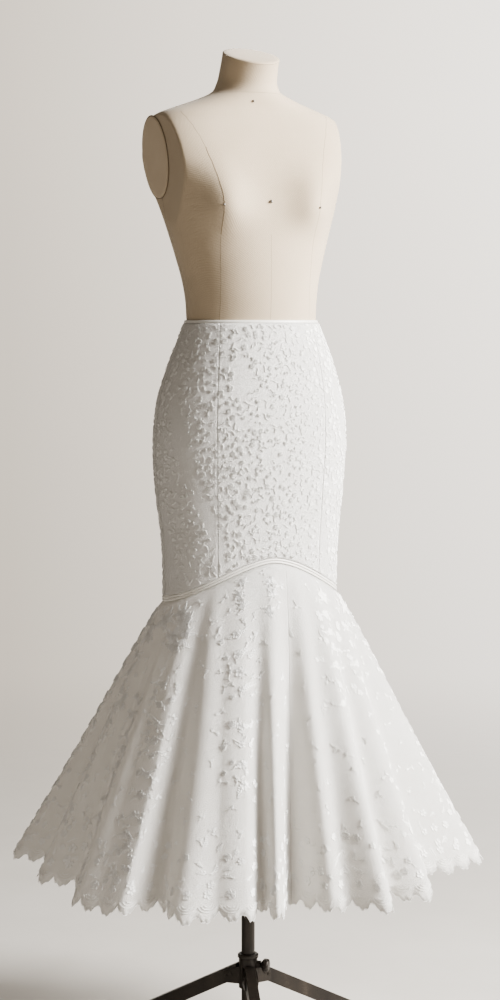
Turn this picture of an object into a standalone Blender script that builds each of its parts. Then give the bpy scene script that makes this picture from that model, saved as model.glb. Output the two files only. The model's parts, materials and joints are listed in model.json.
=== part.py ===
"""A mermaid wedding skirt of corded lace, worn by a linen dress form on a three-legged stand.

Metres, +Z up. The origin is on the floor under the pole, the form faces -Y and its left side is +X.
Directions round the body are angles from the front, positive towards the form's left.
"""

import math
from collections import namedtuple

import bmesh
import bpy
import numpy as np

# ---------------------------------------------------------------- driving dimensions
WAIST_Z = 1.400
CLOTH = 0.0020
SEAM_GAP = 0.0003
BODY_CLEARANCE = 0.0008

BINDING_HEIGHT = 0.0050
BINDING_PROUD = 0.0008

ARCH_TOP = 0.426
ARCH_DROP = 0.077
ARCH_WIDTH_DEG = 49.0
ARCH_POWER = 1.76
CORD_RADIUS = 0.0024
CORD_INSET = 0.0005
CORD_SIDES = 6
CORD_SPREAD = CORD_RADIUS * math.cos(math.pi / CORD_SIDES) + SEAM_GAP / 2
CORD_STEPS = 72

HEM_DEPTH = 0.985
HEM_MEAN_RADIUS = 0.395
FOLD_POWER = 0.75
SWELL = 0.038
SWELL_RISE = 0.6
SWELL_FALL = 3.0
SCALLOP_LENGTH = 0.042
SCALLOP_DEPTH = 0.014
COLUMNS_PER_SCALLOP = 4
FLOUNCE_LEVELS = (0.0, 0.05, 0.18, 0.45, 1.0)

SIDE_SEAM_DEG = 90.0
BACK_SEAM_DEG = 180.0
FLOUNCE_FRONT_SEAM_DEG = 8.0

ZIP_LENGTH = 0.180
ZIP_HALF_WIDTH = 0.0015
ZIP_SLOT_HALF = 0.0018
ZIP_CLOSING = 0.020
COIL_SUNK = 0.0002
SLIDER_DEPTH = 0.015
SLIDER_SIZE = (0.0060, 0.0030, 0.0090)
PULL_SIZE = (0.0050, 0.0014, 0.0220)

FORM_DEPTH = 0.340
PLATE_X = 0.166
PLATE_TURN = 0.14
PLATE_SPLAY = 0.07
PLATE_THICKNESS = 0.0025
PLATE_CENTRE = (0.027, 0.289)
PLATE_HALF_WIDTH = 0.046
PLATE_HALF_HEIGHT = 0.073
PLATE_TILT_DEG = 8.0
BUST_X = 0.090
BUST_HEIGHT = 0.198
BUST_RISE = 0.026
BUST_SPREAD = 0.044
BUST_ABOVE = 0.062
BUST_BELOW = 0.040
NECK_START = 0.400
NECK_TOP = 0.467
NECK_TILT_DEG = 20.0
CAP_THICKNESS = 0.004
BOARD_THICKNESS = 0.012
BOARD_INSET = 0.012
SOCKET_DEPTH = 0.060

POLE_RADIUS = 0.0125
POLE_BOTTOM_Z = 0.085
SOCKET_RADIUS = 0.0132
HUB_BOTTOM_Z = 0.160
HUB_TOP_Z = 0.224
HUB_RADIUS = 0.0175
HUB_BORE = 0.0130
HUB_BEAD = 0.0020
HUB_BEAD_HEIGHT = 0.0045
LEG_DEGREES = (-14.0, 106.0, -134.0)
LEG_SLOPE_DEG = 28.0
LEG_WIDTH = 0.020
LEG_HEIGHT = 0.025
LEG_START_R = 0.0200
LEG_START_Z = 0.190
LEG_END_R = 0.330
FOOT_START_R = 0.285
CLEVIS_THICKNESS = 0.0025
CLEVIS_REACH_R = 0.045
CLEVIS_ROOT = 0.0040
CLEVIS_ABOVE = 0.012
CLEVIS_BELOW = 0.010
CLEVIS_GUSSET = 0.012
KNOB_DEG = 52.0
KNOB_Z = 0.204
KNOB_START_R = 0.0275
KNOB_LENGTH = 0.013
KNOB_RADIUS = 0.0125
KNOB_LOBES = 6
KNOB_STEM_RADIUS = 0.0040
BOSS_RADIUS = 0.0075
BOSS_SHORT = 0.003

# Outline of the skirt's close-fitting part: depth below the waist, outer half width and half depth,
# how far the section sits back, and how far the front princess seams run from the centre front.
Section = namedtuple("Section", "depth half_width half_depth centre_y seam_x")
SECTIONS = [
    Section(0.000, 0.1232, 0.0930, -0.016, 0.086),
    Section(0.045, 0.1414, 0.1060, -0.016, 0.093),
    Section(0.090, 0.1588, 0.1150, -0.014, 0.098),
    Section(0.140, 0.1735, 0.1210, -0.012, 0.102),
    Section(0.220, 0.1822, 0.1230, -0.011, 0.1035),
    Section(0.300, 0.1782, 0.1190, -0.009, 0.101),
    Section(0.400, 0.1672, 0.1102, -0.011, 0.098),
    Section(0.520, 0.1648, 0.1080, -0.010, 0.097),
]

# The form above the waist: height, half width, front and back of each section, and its squareness,
# which is 2 for an ellipse and more where the section is boxier.
Torso = namedtuple("Torso", "height half_width front back square")
TORSO = [
    Torso(0.000, 0.1204, -0.1062, 0.0742, 2.0),
    Torso(0.040, 0.1224, -0.1100, 0.0805, 2.0),
    Torso(0.075, 0.1280, -0.1105, 0.0870, 2.0),
    Torso(0.110, 0.1368, -0.1105, 0.0930, 2.05),
    Torso(0.146, 0.1465, -0.1100, 0.1000, 2.1),
    Torso(0.181, 0.1560, -0.1095, 0.1080, 2.2),
    Torso(0.217, 0.1672, -0.1070, 0.1140, 2.4),
    Torso(0.250, 0.1800, -0.1020, 0.1170, 2.8),
    Torso(0.285, 0.1920, -0.0930, 0.1170, 3.0),
    Torso(0.315, 0.1920, -0.0820, 0.1120, 3.0),
    Torso(0.340, 0.1840, -0.0690, 0.1040, 2.9),
    Torso(0.356, 0.1760, -0.0600, 0.0960, 2.6),
    Torso(0.366, 0.1650, -0.0560, 0.0900, 2.4),
    Torso(0.376, 0.1400, -0.0520, 0.0850, 2.3),
    Torso(0.387, 0.1080, -0.0510, 0.0770, 2.2),
    Torso(0.397, 0.0820, -0.0500, 0.0710, 2.1),
    Torso(0.406, 0.0640, -0.0500, 0.0650, 2.0),
    Torso(0.418, 0.0560, -0.0500, 0.0620, 2.0),
    Torso(0.444, 0.0515, -0.0560, 0.0490, 2.0),
    Torso(NECK_TOP, 0.0505, -0.0645, 0.0375, 2.0),
]

# Ridges and valleys of the flounce, in order round the body: where each starts at the piping, where it
# ends at the hem, and how far from the pole it is there.
Fold = namedtuple("Fold", "seam_deg hem_deg radius")
FOLDS = [
    Fold(-170, -170, 0.420),
    Fold(-157, -157, 0.355),
    Fold(-145, -145, 0.432),
    Fold(-133, -133, 0.368),
    Fold(-115, -115, 0.437),
    Fold(-100, -102, 0.368),
    Fold(-88, -88, 0.406),
    Fold(-76, -77, 0.368),
    Fold(-65, -64, 0.430),
    Fold(-58, -58, 0.427),
    Fold(-51, -52, 0.432),
    Fold(-43, -46, 0.365),
    Fold(-36, -38, 0.426),
    Fold(-29, -29, 0.392),
    Fold(-21, -22.5, 0.398),
    Fold(-11, -17.8, 0.352),
    Fold(-2, -14.8, 0.400),
    Fold(8, -7.5, 0.300),
    Fold(16, 0.5, 0.385),
    Fold(21, 5, 0.368),
    Fold(29, 11.5, 0.430),
    Fold(39, 19.5, 0.365),
    Fold(49, 27.5, 0.412),
    Fold(60, 43, 0.338),
    Fold(71, 66, 0.430),
    Fold(82, 80, 0.360),
    Fold(94, 93, 0.413),
    Fold(105, 104, 0.355),
    Fold(118, 118, 0.430),
    Fold(131, 131, 0.360),
    Fold(143, 143, 0.415),
    Fold(154, 154, 0.345),
    Fold(166, 166, 0.435),
    Fold(178, 178, 0.370),
]

PANEL_DEPTHS = (0.030, 0.060, 0.090, 0.130, 0.180, 0.230, 0.280, 0.330)
PANEL_TAIL = (0.5, 1.0)
TORSO_COLUMNS = 48

LACE = ("ivory_lace", (0.86, 0.84, 0.80), 0.75, 0.0)
SATIN = ("ivory_piping", (0.88, 0.86, 0.81), 0.45, 0.0)
LINEN = ("cream_linen", (0.76, 0.69, 0.58), 0.85, 0.0)
BOARD = ("base_board", (0.45, 0.33, 0.22), 0.65, 0.0)
METAL = ("dark_metal", (0.045, 0.036, 0.030), 0.40, 0.8)
RUBBER = ("foot_rubber", (0.020, 0.020, 0.020), 0.80, 0.0)
COIL = ("zip_coil", (0.84, 0.82, 0.78), 0.50, 0.0)
ENAMEL = ("zip_metal", (0.80, 0.78, 0.74), 0.35, 0.6)


# ---------------------------------------------------------------- curves and surfaces
def smooth(table, column, at):
    """The named column of a table at a value of its first column, on a smooth curve through the rows."""
    keys = np.array([row[0] for row in table])
    values = np.array([getattr(row, column) for row in table])
    slopes = np.gradient(values, keys)
    low = np.clip(np.searchsorted(keys, at) - 1, 0, len(keys) - 2)
    span = keys[low + 1] - keys[low]
    u = (at - keys[low]) / span
    rise = values[low + 1] - values[low]
    start = slopes[low] * span
    end = slopes[low + 1] * span
    return values[low] + u * start + u**2 * (3 * rise - 2 * start - end) + u**3 * (start + end - 2 * rise)


def unit(vectors):
    return vectors / np.linalg.norm(vectors, axis=-1, keepdims=True)


def skirt_point(degrees, depth):
    """A point on the outside of the skirt's close-fitting part."""
    angle = np.radians(degrees)
    x = smooth(SECTIONS, "half_width", depth) * np.sin(angle)
    y = smooth(SECTIONS, "centre_y", depth) - smooth(SECTIONS, "half_depth", depth) * np.cos(angle)
    return np.stack([x, y, WAIST_Z - depth + 0 * x], axis=-1)


def skirt_normal(degrees, depth):
    """The level direction that points out of the skirt there."""
    angle = np.radians(degrees)
    x = np.sin(angle) / smooth(SECTIONS, "half_width", depth)
    y = -np.cos(angle) / smooth(SECTIONS, "half_depth", depth)
    return unit(np.stack([x, y, 0 * x], axis=-1))


def skirt_along(degrees, depth):
    """The level direction along the cloth there, towards growing angles."""
    normal = skirt_normal(degrees, depth)
    return np.stack([-normal[..., 1], normal[..., 0], normal[..., 2]], axis=-1)


def princess_degrees(depth):
    """The angle of the front princess seam at that depth."""
    share = smooth(SECTIONS, "seam_x", depth) / smooth(SECTIONS, "half_width", depth)
    return np.degrees(np.arcsin(share))


def arch_depth(degrees):
    """How far below the waist the piping runs: highest at the centre front, level round the back."""
    wrapped = np.abs((degrees + 180.0) % 360.0 - 180.0)
    return ARCH_TOP + ARCH_DROP * (1 - np.exp(-((wrapped / ARCH_WIDTH_DEG) ** ARCH_POWER)))


def arch_frame(degrees):
    """The piping's middle line, with the directions out of the cloth and up along it."""
    step = 0.05
    depth = arch_depth(degrees)
    here = skirt_point(degrees, depth)
    after = skirt_point(degrees + step, arch_depth(degrees + step))
    before = skirt_point(degrees - step, arch_depth(degrees - step))
    along = unit(after - before)
    out = skirt_normal(degrees, depth)
    up = unit(np.cross(out, along))
    return here, out, up


def seam_shift(degrees):
    """The drop from the piping's middle line to the edge of the cloth beside it."""
    up = arch_frame(degrees)[2]
    return (CORD_SPREAD + CORD_RADIUS + SEAM_GAP) / up[..., 2]


def wrapped_folds():
    """The folds with the ones beyond the centre back repeated at both ends."""
    before = [Fold(f.seam_deg - 360, f.hem_deg - 360, f.radius) for f in FOLDS[-3:]]
    after = [Fold(f.seam_deg + 360, f.hem_deg + 360, f.radius) for f in FOLDS[:3]]
    return before + FOLDS + after


def fold_radius(degrees):
    """Hem radius at an angle of the seam, rounded alike on ridges and in valleys."""
    folds = wrapped_folds()
    keys = np.array([fold.seam_deg for fold in folds])
    radii = np.array([fold.radius for fold in folds])
    low = np.clip(np.searchsorted(keys, degrees) - 1, 0, len(keys) - 2)
    share = (degrees - keys[low]) / (keys[low + 1] - keys[low])
    return radii[low] + (radii[low + 1] - radii[low]) * (1 - np.cos(math.pi * share)) / 2


def flounce_point(degrees, level, hem_depth):
    """A point on the outside of the flounce: level 0 at the piping and 1 at the hem."""
    top_depth = arch_depth(degrees) + seam_shift(degrees)
    top = skirt_point(degrees, top_depth)
    hem_angle = np.radians(smooth(wrapped_folds(), "hem_deg", degrees))
    out = np.stack([np.sin(hem_angle), -np.cos(hem_angle), 0 * hem_angle], axis=-1)
    level = np.asarray(level)[..., None]
    fold = (fold_radius(degrees) - HEM_MEAN_RADIUS)[..., None]
    swell = SWELL * level**SWELL_RISE * (1 - level) ** SWELL_FALL
    plan = top * (1 - level) + out * (HEM_MEAN_RADIUS * level + fold * level**FOLD_POWER + swell)
    depth = top_depth + (hem_depth - top_depth) * level[..., 0]
    return np.stack([plan[..., 0], plan[..., 1], WAIST_Z - depth], axis=-1)


def flounce_normal(degrees, level, hem_depth):
    """Out of the flounce's cloth, from its slopes along and down."""
    turn, drop = 0.05, 0.01
    low, high = np.clip(level - drop, 0, 1), np.clip(level + drop, 0, 1)
    after = flounce_point(degrees + turn, level, hem_depth)
    before = flounce_point(degrees - turn, level, hem_depth)
    down = flounce_point(degrees, high, hem_depth) - flounce_point(degrees, low, hem_depth)
    return unit(np.cross(down, after - before))


def hem_columns():
    """Angles at even steps of cloth along the hem, and the hem's depth at each with its scallops."""
    fine = np.linspace(-BACK_SEAM_DEG, BACK_SEAM_DEG, 7201)
    points = flounce_point(fine, np.ones_like(fine), HEM_DEPTH)
    length = np.concatenate([[0], np.cumsum(np.linalg.norm(np.diff(points, axis=0), axis=1))])
    scallops = 4 * round(length[-1] / SCALLOP_LENGTH / 4)
    count = scallops * COLUMNS_PER_SCALLOP
    along = np.linspace(0, length[-1], count + 1)
    degrees = np.interp(along, length, fine)
    bump = np.abs(np.sin(math.pi * scallops * along / length[-1]))
    return degrees, HEM_DEPTH + SCALLOP_DEPTH * (bump - 0.5)


def torso_ring(height, columns):
    """One level section of the form, from the hips to the neck, as points round it."""
    angle = np.linspace(-math.pi, math.pi, columns, endpoint=False)
    if height <= 0:
        inset = CLOTH + BODY_CLEARANCE
        half_width = smooth(SECTIONS, "half_width", -height) - inset
        half_depth = smooth(SECTIONS, "half_depth", -height) - inset
        centre_y = smooth(SECTIONS, "centre_y", -height)
        square = 2.0
    else:
        half_width = smooth(TORSO, "half_width", height)
        front = smooth(TORSO, "front", height)
        back = smooth(TORSO, "back", height)
        half_depth = (back - front) / 2
        centre_y = (back + front) / 2
        square = smooth(TORSO, "square", height)
    side = np.sign(np.sin(angle)) * np.abs(np.sin(angle)) ** (2 / square)
    ahead = np.sign(np.cos(angle)) * np.abs(np.cos(angle)) ** (2 / square)
    x = half_width * side
    y = centre_y - half_depth * ahead - bust_rise(x, height) * np.clip(ahead, 0, 1)
    if height > 0:
        widest = plate_distance(y, height)
        x = np.clip(x, -widest, widest)
    up_the_neck = np.clip((height - NECK_START) / (NECK_TOP - NECK_START), 0, 1)
    tilt = math.tan(math.radians(NECK_TILT_DEG)) * up_the_neck
    return np.stack([x, y, WAIST_Z + height + tilt * (y - centre_y)], axis=-1)


def plate_distance(y, height):
    """How far from the middle the flat armhole planes lie, wider apart towards the back and the top."""
    return PLATE_X + PLATE_TURN * (y - PLATE_CENTRE[0]) + PLATE_SPLAY * (height - PLATE_CENTRE[1])


def bust_rise(x, height):
    spread = BUST_ABOVE if height > BUST_HEIGHT else BUST_BELOW
    level = math.exp(-(((height - BUST_HEIGHT) / spread) ** 2))
    across = np.exp(-(((np.abs(x) - BUST_X) / BUST_SPREAD) ** 2))
    return BUST_RISE * level * across


# ---------------------------------------------------------------- mesh helpers
def clear_scene():
    for old in list(bpy.data.objects):
        bpy.data.objects.remove(old, do_unlink=True)


def finish_of(look):
    """The material of that name, made once."""
    name, colour, roughness, metallic = look
    material = bpy.data.materials.get(name)
    if material:
        return material
    material = bpy.data.materials.new(name)
    material.use_nodes = True
    shader = material.node_tree.nodes["Principled BSDF"]
    shader.inputs["Base Color"].default_value = (*colour, 1.0)
    shader.inputs["Roughness"].default_value = roughness
    shader.inputs["Metallic"].default_value = metallic
    return material


def add_object(name, mesh_maker, look, origin=(0.0, 0.0, 0.0), sharp_deg=40.0):
    """A named object from a bmesh in world coordinates, with its own origin and smooth shading."""
    bmesh.ops.recalc_face_normals(mesh_maker, faces=mesh_maker.faces)
    bmesh.ops.translate(mesh_maker, vec=[-c for c in origin], verts=mesh_maker.verts)
    mesh = bpy.data.meshes.new(name)
    mesh_maker.to_mesh(mesh)
    mesh_maker.free()
    mesh.shade_smooth()
    mesh.set_sharp_from_angle(angle=math.radians(sharp_deg))
    mesh.materials.append(finish_of(look))
    made = bpy.data.objects.new(name, mesh)
    made.location = origin
    bpy.context.scene.collection.objects.link(made)
    return made


def wall(outer, inner, closed=False):
    """A closed wall between two grids of points with the same rows and columns."""
    rows, columns = outer.shape[:2]
    maker = bmesh.new()
    grids = [[[maker.verts.new(point) for point in row] for row in grid] for grid in (outer, inner)]
    last = columns if closed else columns - 1
    for grid in grids:
        for upper, lower in zip(grid, grid[1:]):
            for column in range(last):
                after = (column + 1) % columns
                maker.faces.new((upper[column], upper[after], lower[after], lower[column]))
    for row in (0, rows - 1):
        outside, inside = grids[0][row], grids[1][row]
        for column in range(last):
            after = (column + 1) % columns
            maker.faces.new((outside[column], outside[after], inside[after], inside[column]))
    if not closed:
        for column in (0, columns - 1):
            outside, inside = [[row[column] for row in grid] for grid in grids]
            for row in range(rows - 1):
                maker.faces.new((outside[row], outside[row + 1], inside[row + 1], inside[row]))
    return maker


def loft(rings, closed_ends=True, looped=False):
    """A solid through rings of points, capped at both ends or joined round."""
    maker = bmesh.new()
    loops = [[maker.verts.new(point) for point in ring] for ring in rings]
    pairs = list(zip(loops, loops[1:] + loops[:1])) if looped else list(zip(loops, loops[1:]))
    for first, second in pairs:
        for column in range(len(first)):
            after = (column + 1) % len(first)
            maker.faces.new((first[column], first[after], second[after], second[column]))
    if closed_ends and not looped:
        maker.faces.new(loops[0])
        maker.faces.new(loops[-1])
    return maker


def turned(profile, segments):
    """A solid of revolution about the pole's axis from a closed (radius, height) profile."""
    angles = [2 * math.pi * step / segments for step in range(segments)]
    rings = [[(r * math.cos(a), r * math.sin(a), z) for r, z in profile] for a in angles]
    return loft(rings, looped=True)


def cylinder(start, end, radius, segments):
    """A capped cylinder between two points."""
    start, end = np.array(start, float), np.array(end, float)
    axis = unit(end - start)
    side = unit(np.cross(axis, [0.3, 0.5, 0.81]))
    up = np.cross(axis, side)
    angles = np.linspace(0, 2 * math.pi, segments, endpoint=False)[:, None]
    circle = radius * (np.cos(angles) * side + np.sin(angles) * up)
    return loft([start + circle, end + circle])


def radial(degrees, radius, across, z):
    """The world point at a radius and an offset across it, in the direction of that angle."""
    angle = math.radians(degrees)
    out = (math.sin(angle), -math.cos(angle))
    return (out[0] * radius - out[1] * across, out[1] * radius + out[0] * across, z)


def slab(degrees, outline, across_low, across_high):
    """A plate whose (radius, height) outline stands in the direction of that angle."""
    rings = [[radial(degrees, r, across, z) for r, z in outline] for across in (across_low, across_high)]
    return loft(rings)


def combine(target, tools, operation):
    """Joins tools to the target or cuts them from it, and drops the tools."""
    for tool in tools:
        modifier = target.modifiers.new(operation.lower(), "BOOLEAN")
        modifier.operation = operation
        modifier.object = tool
        modifier.solver = "EXACT"
    graph = bpy.context.evaluated_depsgraph_get()
    mesh = bpy.data.meshes.new_from_object(target.evaluated_get(graph))
    target.modifiers.clear()
    target.data = mesh
    for tool in tools:
        bpy.data.objects.remove(tool, do_unlink=True)


# ---------------------------------------------------------------- the skirt
def cloth_panel(name, left_edge, right_edge, columns, slot_half=None):
    """One cut piece of the close-fitting part, between two seams given as angle by depth.

    slot_half gives the half gap on the centre back edge, by depth, where the zip lies.
    """
    shares = np.linspace(0, 1, columns + 1)
    bottoms = []
    for share in shares:
        deep = ARCH_TOP + ARCH_DROP
        degrees = left_edge(deep) + (right_edge(deep) - left_edge(deep)) * share
        bottoms.append(arch_depth(degrees) - seam_shift(degrees))
    last_fixed = PANEL_DEPTHS[-1]
    rows = [np.full(columns + 1, BINDING_HEIGHT + SEAM_GAP)]
    rows += [np.full(columns + 1, depth) for depth in PANEL_DEPTHS]
    rows += [last_fixed + (np.array(bottoms) - last_fixed) * share for share in PANEL_TAIL]
    depths = np.stack(rows)
    left, right = left_edge(depths), right_edge(depths)
    degrees = left + (right - left) * shares
    outer = skirt_point(degrees, depths)
    shift = np.zeros_like(depths)
    shift[:, 0] = SEAM_GAP / 2
    shift[:, -1] = -SEAM_GAP / 2
    if slot_half:
        edge = 0 if left_edge(0.0) == -BACK_SEAM_DEG else -1
        shift[:, edge] = np.sign(shift[:, edge]) * slot_half(depths[:, edge])
    outer = outer + skirt_along(degrees, depths) * shift[..., None]
    inner = outer - CLOTH * skirt_normal(degrees, depths)
    return add_object(name, wall(outer, inner), LACE)


def zip_slot_half(depth):
    """Half the gap of the centre back seam: wide beside the zip, closed below it."""
    below = np.clip((depth - ZIP_LENGTH) / ZIP_CLOSING, 0, 1)
    return ZIP_SLOT_HALF + (SEAM_GAP / 2 - ZIP_SLOT_HALF) * below


def constant(degrees):
    return lambda depth: degrees + 0 * depth


def right_princess_degrees(depth):
    return -princess_degrees(depth)


def build_panels():
    cloth_panel("skirt_front", right_princess_degrees, princess_degrees, 14)
    cloth_panel("skirt_side_left", princess_degrees, constant(SIDE_SEAM_DEG), 7)
    cloth_panel("skirt_side_right", constant(-SIDE_SEAM_DEG), right_princess_degrees, 7)
    cloth_panel("skirt_back_left", constant(SIDE_SEAM_DEG), constant(BACK_SEAM_DEG), 11, zip_slot_half)
    cloth_panel("skirt_back_right", constant(-BACK_SEAM_DEG), constant(-SIDE_SEAM_DEG), 11, zip_slot_half)


def build_binding():
    """The narrow binding that finishes the waist, split at the centre back."""
    degrees = np.linspace(-BACK_SEAM_DEG, BACK_SEAM_DEG, 51)
    levels = np.array([0.0, BINDING_HEIGHT])
    grid = np.broadcast_to(degrees, (2, len(degrees)))
    depths = levels[:, None] + 0 * grid
    shift = np.zeros_like(depths)
    shift[:, 0] = SEAM_GAP
    shift[:, -1] = -SEAM_GAP
    middle = skirt_point(grid, depths) + skirt_along(grid, depths) * shift[..., None]
    normal = skirt_normal(grid, depths)
    add_object("waist_binding", wall(middle + BINDING_PROUD * normal, middle - CLOTH * normal), SATIN)


def build_piping():
    """Two round cords side by side in the arched seam between the panels and the flounce."""
    end = 0.1
    degrees = np.linspace(-BACK_SEAM_DEG + end, BACK_SEAM_DEG - end, CORD_STEPS + 1)
    here, out, up = arch_frame(degrees)
    turns = np.linspace(0, 2 * math.pi, CORD_SIDES, endpoint=False)
    for name, side in (("piping_upper", 1), ("piping_lower", -1)):
        centre = here + side * CORD_SPREAD * up - CORD_INSET * out
        rings = [
            [c + CORD_RADIUS * (math.cos(t) * o + math.sin(t) * u) for t in turns]
            for c, o, u in zip(centre, out, up)
        ]
        add_object(name, loft(rings), SATIN, sharp_deg=80.0)


def flounce_gore(name, low, high, hem_degrees, hem_depths):
    """One cut piece of the flounce between two seams, with its scalloped hem."""
    inside = (hem_degrees > low + 0.2) & (hem_degrees < high - 0.2)
    degrees = np.concatenate([[low], hem_degrees[inside], [high]])
    hem = np.interp(degrees, hem_degrees, hem_depths)
    levels = np.array(FLOUNCE_LEVELS)[:, None] + 0 * degrees
    degrees = degrees + 0 * levels
    hem = hem + 0 * levels
    outer = flounce_point(degrees, levels, hem)
    normal = flounce_normal(degrees, levels, hem)
    inner = outer - CLOTH * normal
    for edge, inward in ((0, 1), (-1, -1)):
        along = unit(np.cross([0.0, 0.0, 1.0], normal[:, edge]))
        outer[:, edge] += inward * SEAM_GAP / 2 * along
        inner[:, edge] += inward * SEAM_GAP / 2 * along
    add_object(name, wall(outer, inner), LACE, sharp_deg=60.0)


def build_flounce():
    hem_degrees, hem_depths = hem_columns()
    front = FLOUNCE_FRONT_SEAM_DEG
    flounce_gore("flounce_front_left", front, SIDE_SEAM_DEG, hem_degrees, hem_depths)
    flounce_gore("flounce_front_right", -SIDE_SEAM_DEG, front, hem_degrees, hem_depths)
    flounce_gore("flounce_back_left", SIDE_SEAM_DEG, BACK_SEAM_DEG, hem_degrees, hem_depths)
    flounce_gore("flounce_back_right", -BACK_SEAM_DEG, -SIDE_SEAM_DEG, hem_degrees, hem_depths)


def build_zip():
    """The closed zip of the centre back: its row of coils, its slider and its pull."""
    between = [depth for depth in PANEL_DEPTHS if depth < ZIP_LENGTH]
    depths = np.array([BINDING_HEIGHT + SEAM_GAP] + between + [ZIP_LENGTH - SEAM_GAP])
    grid = np.stack([depths, depths], axis=1)
    back = np.full_like(grid, BACK_SEAM_DEG)
    shift = np.array([-ZIP_HALF_WIDTH, ZIP_HALF_WIDTH])
    outer = skirt_point(back, grid) + skirt_along(back, grid) * shift[:, None]
    outer = outer - COIL_SUNK * skirt_normal(back, grid)
    inner = outer - (CLOTH - 2 * COIL_SUNK) * skirt_normal(back, grid)
    add_object("zip_coil", wall(outer, inner), COIL)

    surface = skirt_point(np.array(BACK_SEAM_DEG), np.array(SLIDER_DEPTH))
    lower = skirt_point(np.array(BACK_SEAM_DEG), np.array(SLIDER_DEPTH + PULL_SIZE[2]))
    slope = (lower[1] - surface[1]) / PULL_SIZE[2]
    slider_back = surface[1] + slope * SLIDER_SIZE[2] / 2 + SEAM_GAP
    slider_middle = (0.0, slider_back + SLIDER_SIZE[1] / 2, surface[2])
    add_object("zip_slider", box_at(slider_middle, SLIDER_SIZE), ENAMEL)

    half_thick, length = PULL_SIZE[1] / 2, PULL_SIZE[2]
    pivot_y = slider_back + SLIDER_SIZE[1] + SEAM_GAP + half_thick
    pivot = (0.0, pivot_y, surface[2] - SLIDER_SIZE[2] / 6)
    top = pivot[2] + half_thick
    pull = box_at((0.0, pivot_y, top - length / 2), PULL_SIZE)
    lean = max(0.0, slope * (length + SLIDER_SIZE[2]) - SLIDER_SIZE[1])
    for vertex in pull.verts:
        vertex.co.y += lean * (top - vertex.co.z) / length
    add_object("zip_pull", pull, ENAMEL, origin=pivot)


def box_at(centre, size):
    maker = bmesh.new()
    bmesh.ops.create_cube(maker, size=1.0)
    bmesh.ops.scale(maker, vec=size, verts=maker.verts)
    bmesh.ops.translate(maker, vec=centre, verts=maker.verts)
    return maker


# ---------------------------------------------------------------- the dress form
def form_heights():
    """Levels of the form's sections: the panels' below the waist, the table's above it."""
    hips = [-FORM_DEPTH] + [-depth for depth in reversed(PANEL_DEPTHS)] + [0.0]
    levels = [row.height for row in TORSO[1:]]
    lowest, highest = BUST_HEIGHT - BUST_BELOW / 2, BUST_HEIGHT + 2.5 * BUST_ABOVE
    near_bust = [level for level in levels if lowest < level < highest]
    between = [(low + high) / 2 for low, high in zip(near_bust, near_bust[1:])]
    return hips + sorted(levels + between)


def build_form():
    rings = [torso_ring(height, TORSO_COLUMNS) for height in form_heights()]
    torso = add_object("form_torso", loft(rings), LINEN, sharp_deg=50.0)
    base = WAIST_Z - FORM_DEPTH
    socket = cylinder((0, 0, base - 0.02), (0, 0, base + SOCKET_DEPTH), SOCKET_RADIUS, 24)
    combine(torso, [add_object("socket_cutter", socket, METAL)], "DIFFERENCE")

    top = torso_ring(NECK_TOP, TORSO_COLUMNS // 2)
    tilt = math.radians(NECK_TILT_DEG)
    lift = np.array([0.0, -math.sin(tilt), math.cos(tilt)])
    cap = [top + SEAM_GAP * lift, top + (SEAM_GAP + CAP_THICKNESS) * lift]
    add_object("form_neck_cap", loft(cap), LINEN, sharp_deg=50.0)

    for side, name in ((1, "form_arm_plate_left"), (-1, "form_arm_plate_right")):
        add_object(name, arm_plate(side), LINEN, sharp_deg=50.0)

    ring = torso_ring(-FORM_DEPTH, TORSO_COLUMNS // 2)
    outline = ring * (1 - BOARD_INSET / smooth(SECTIONS, "half_width", FORM_DEPTH))
    angle = np.arctan2(outline[:, 1], outline[:, 0])
    hole = SOCKET_RADIUS * np.stack([np.cos(angle), np.sin(angle)], axis=1)
    levels = (base - SEAM_GAP, base - SEAM_GAP - BOARD_THICKNESS)
    rim = np.stack([np.column_stack([outline[:, :2], np.full(len(outline), z)]) for z in levels])
    bore = np.stack([np.column_stack([hole, np.full(len(hole), z)]) for z in levels])
    add_object("form_base_board", wall(rim, bore, closed=True), BOARD)


def arm_plate(side):
    """The flat oval that closes the form where an arm would start."""
    tilt = math.radians(PLATE_TILT_DEG)
    turns = np.linspace(0, 2 * math.pi, 32, endpoint=False)
    wide = PLATE_HALF_WIDTH * np.cos(turns)
    tall = PLATE_HALF_HEIGHT * np.sin(turns)
    y = PLATE_CENTRE[0] + wide * math.cos(tilt) + tall * math.sin(tilt)
    height = PLATE_CENTRE[1] - wide * math.sin(tilt) + tall * math.cos(tilt)
    rings = []
    for out in (SEAM_GAP, SEAM_GAP + PLATE_THICKNESS):
        x = side * (plate_distance(y, height) + out)
        rings.append(np.stack([x, y, WAIST_Z + height], axis=-1))
    return loft(rings)


# ---------------------------------------------------------------- the stand
def leg_height(radius):
    """Height of a leg's middle line at that radius."""
    return LEG_START_Z - (radius - LEG_START_R) * math.tan(math.radians(LEG_SLOPE_DEG))


def build_legs():
    half = LEG_HEIGHT / 2 / math.cos(math.radians(LEG_SLOPE_DEG))
    for number, degrees in enumerate(LEG_DEGREES, 1):
        ends = (LEG_START_R, LEG_END_R)
        top = [(r, leg_height(r) + half) for r in ends]
        bottom = [(r, leg_height(r) - half) for r in reversed(ends)]
        bar = slab(degrees, top + bottom, -LEG_WIDTH / 2, LEG_WIDTH / 2)
        add_object(f"stand_leg_{number}", bar, METAL, sharp_deg=30.0)
        seat = [(r, leg_height(r) - half - SEAM_GAP) for r in (FOOT_START_R, LEG_END_R)]
        outline = [(FOOT_START_R, 0.0), (LEG_END_R, 0.0)] + seat[::-1]
        foot = slab(degrees, outline, -LEG_WIDTH / 2 - 0.001, LEG_WIDTH / 2 + 0.001)
        add_object(f"stand_foot_{number}", foot, RUBBER, sharp_deg=30.0)


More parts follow.
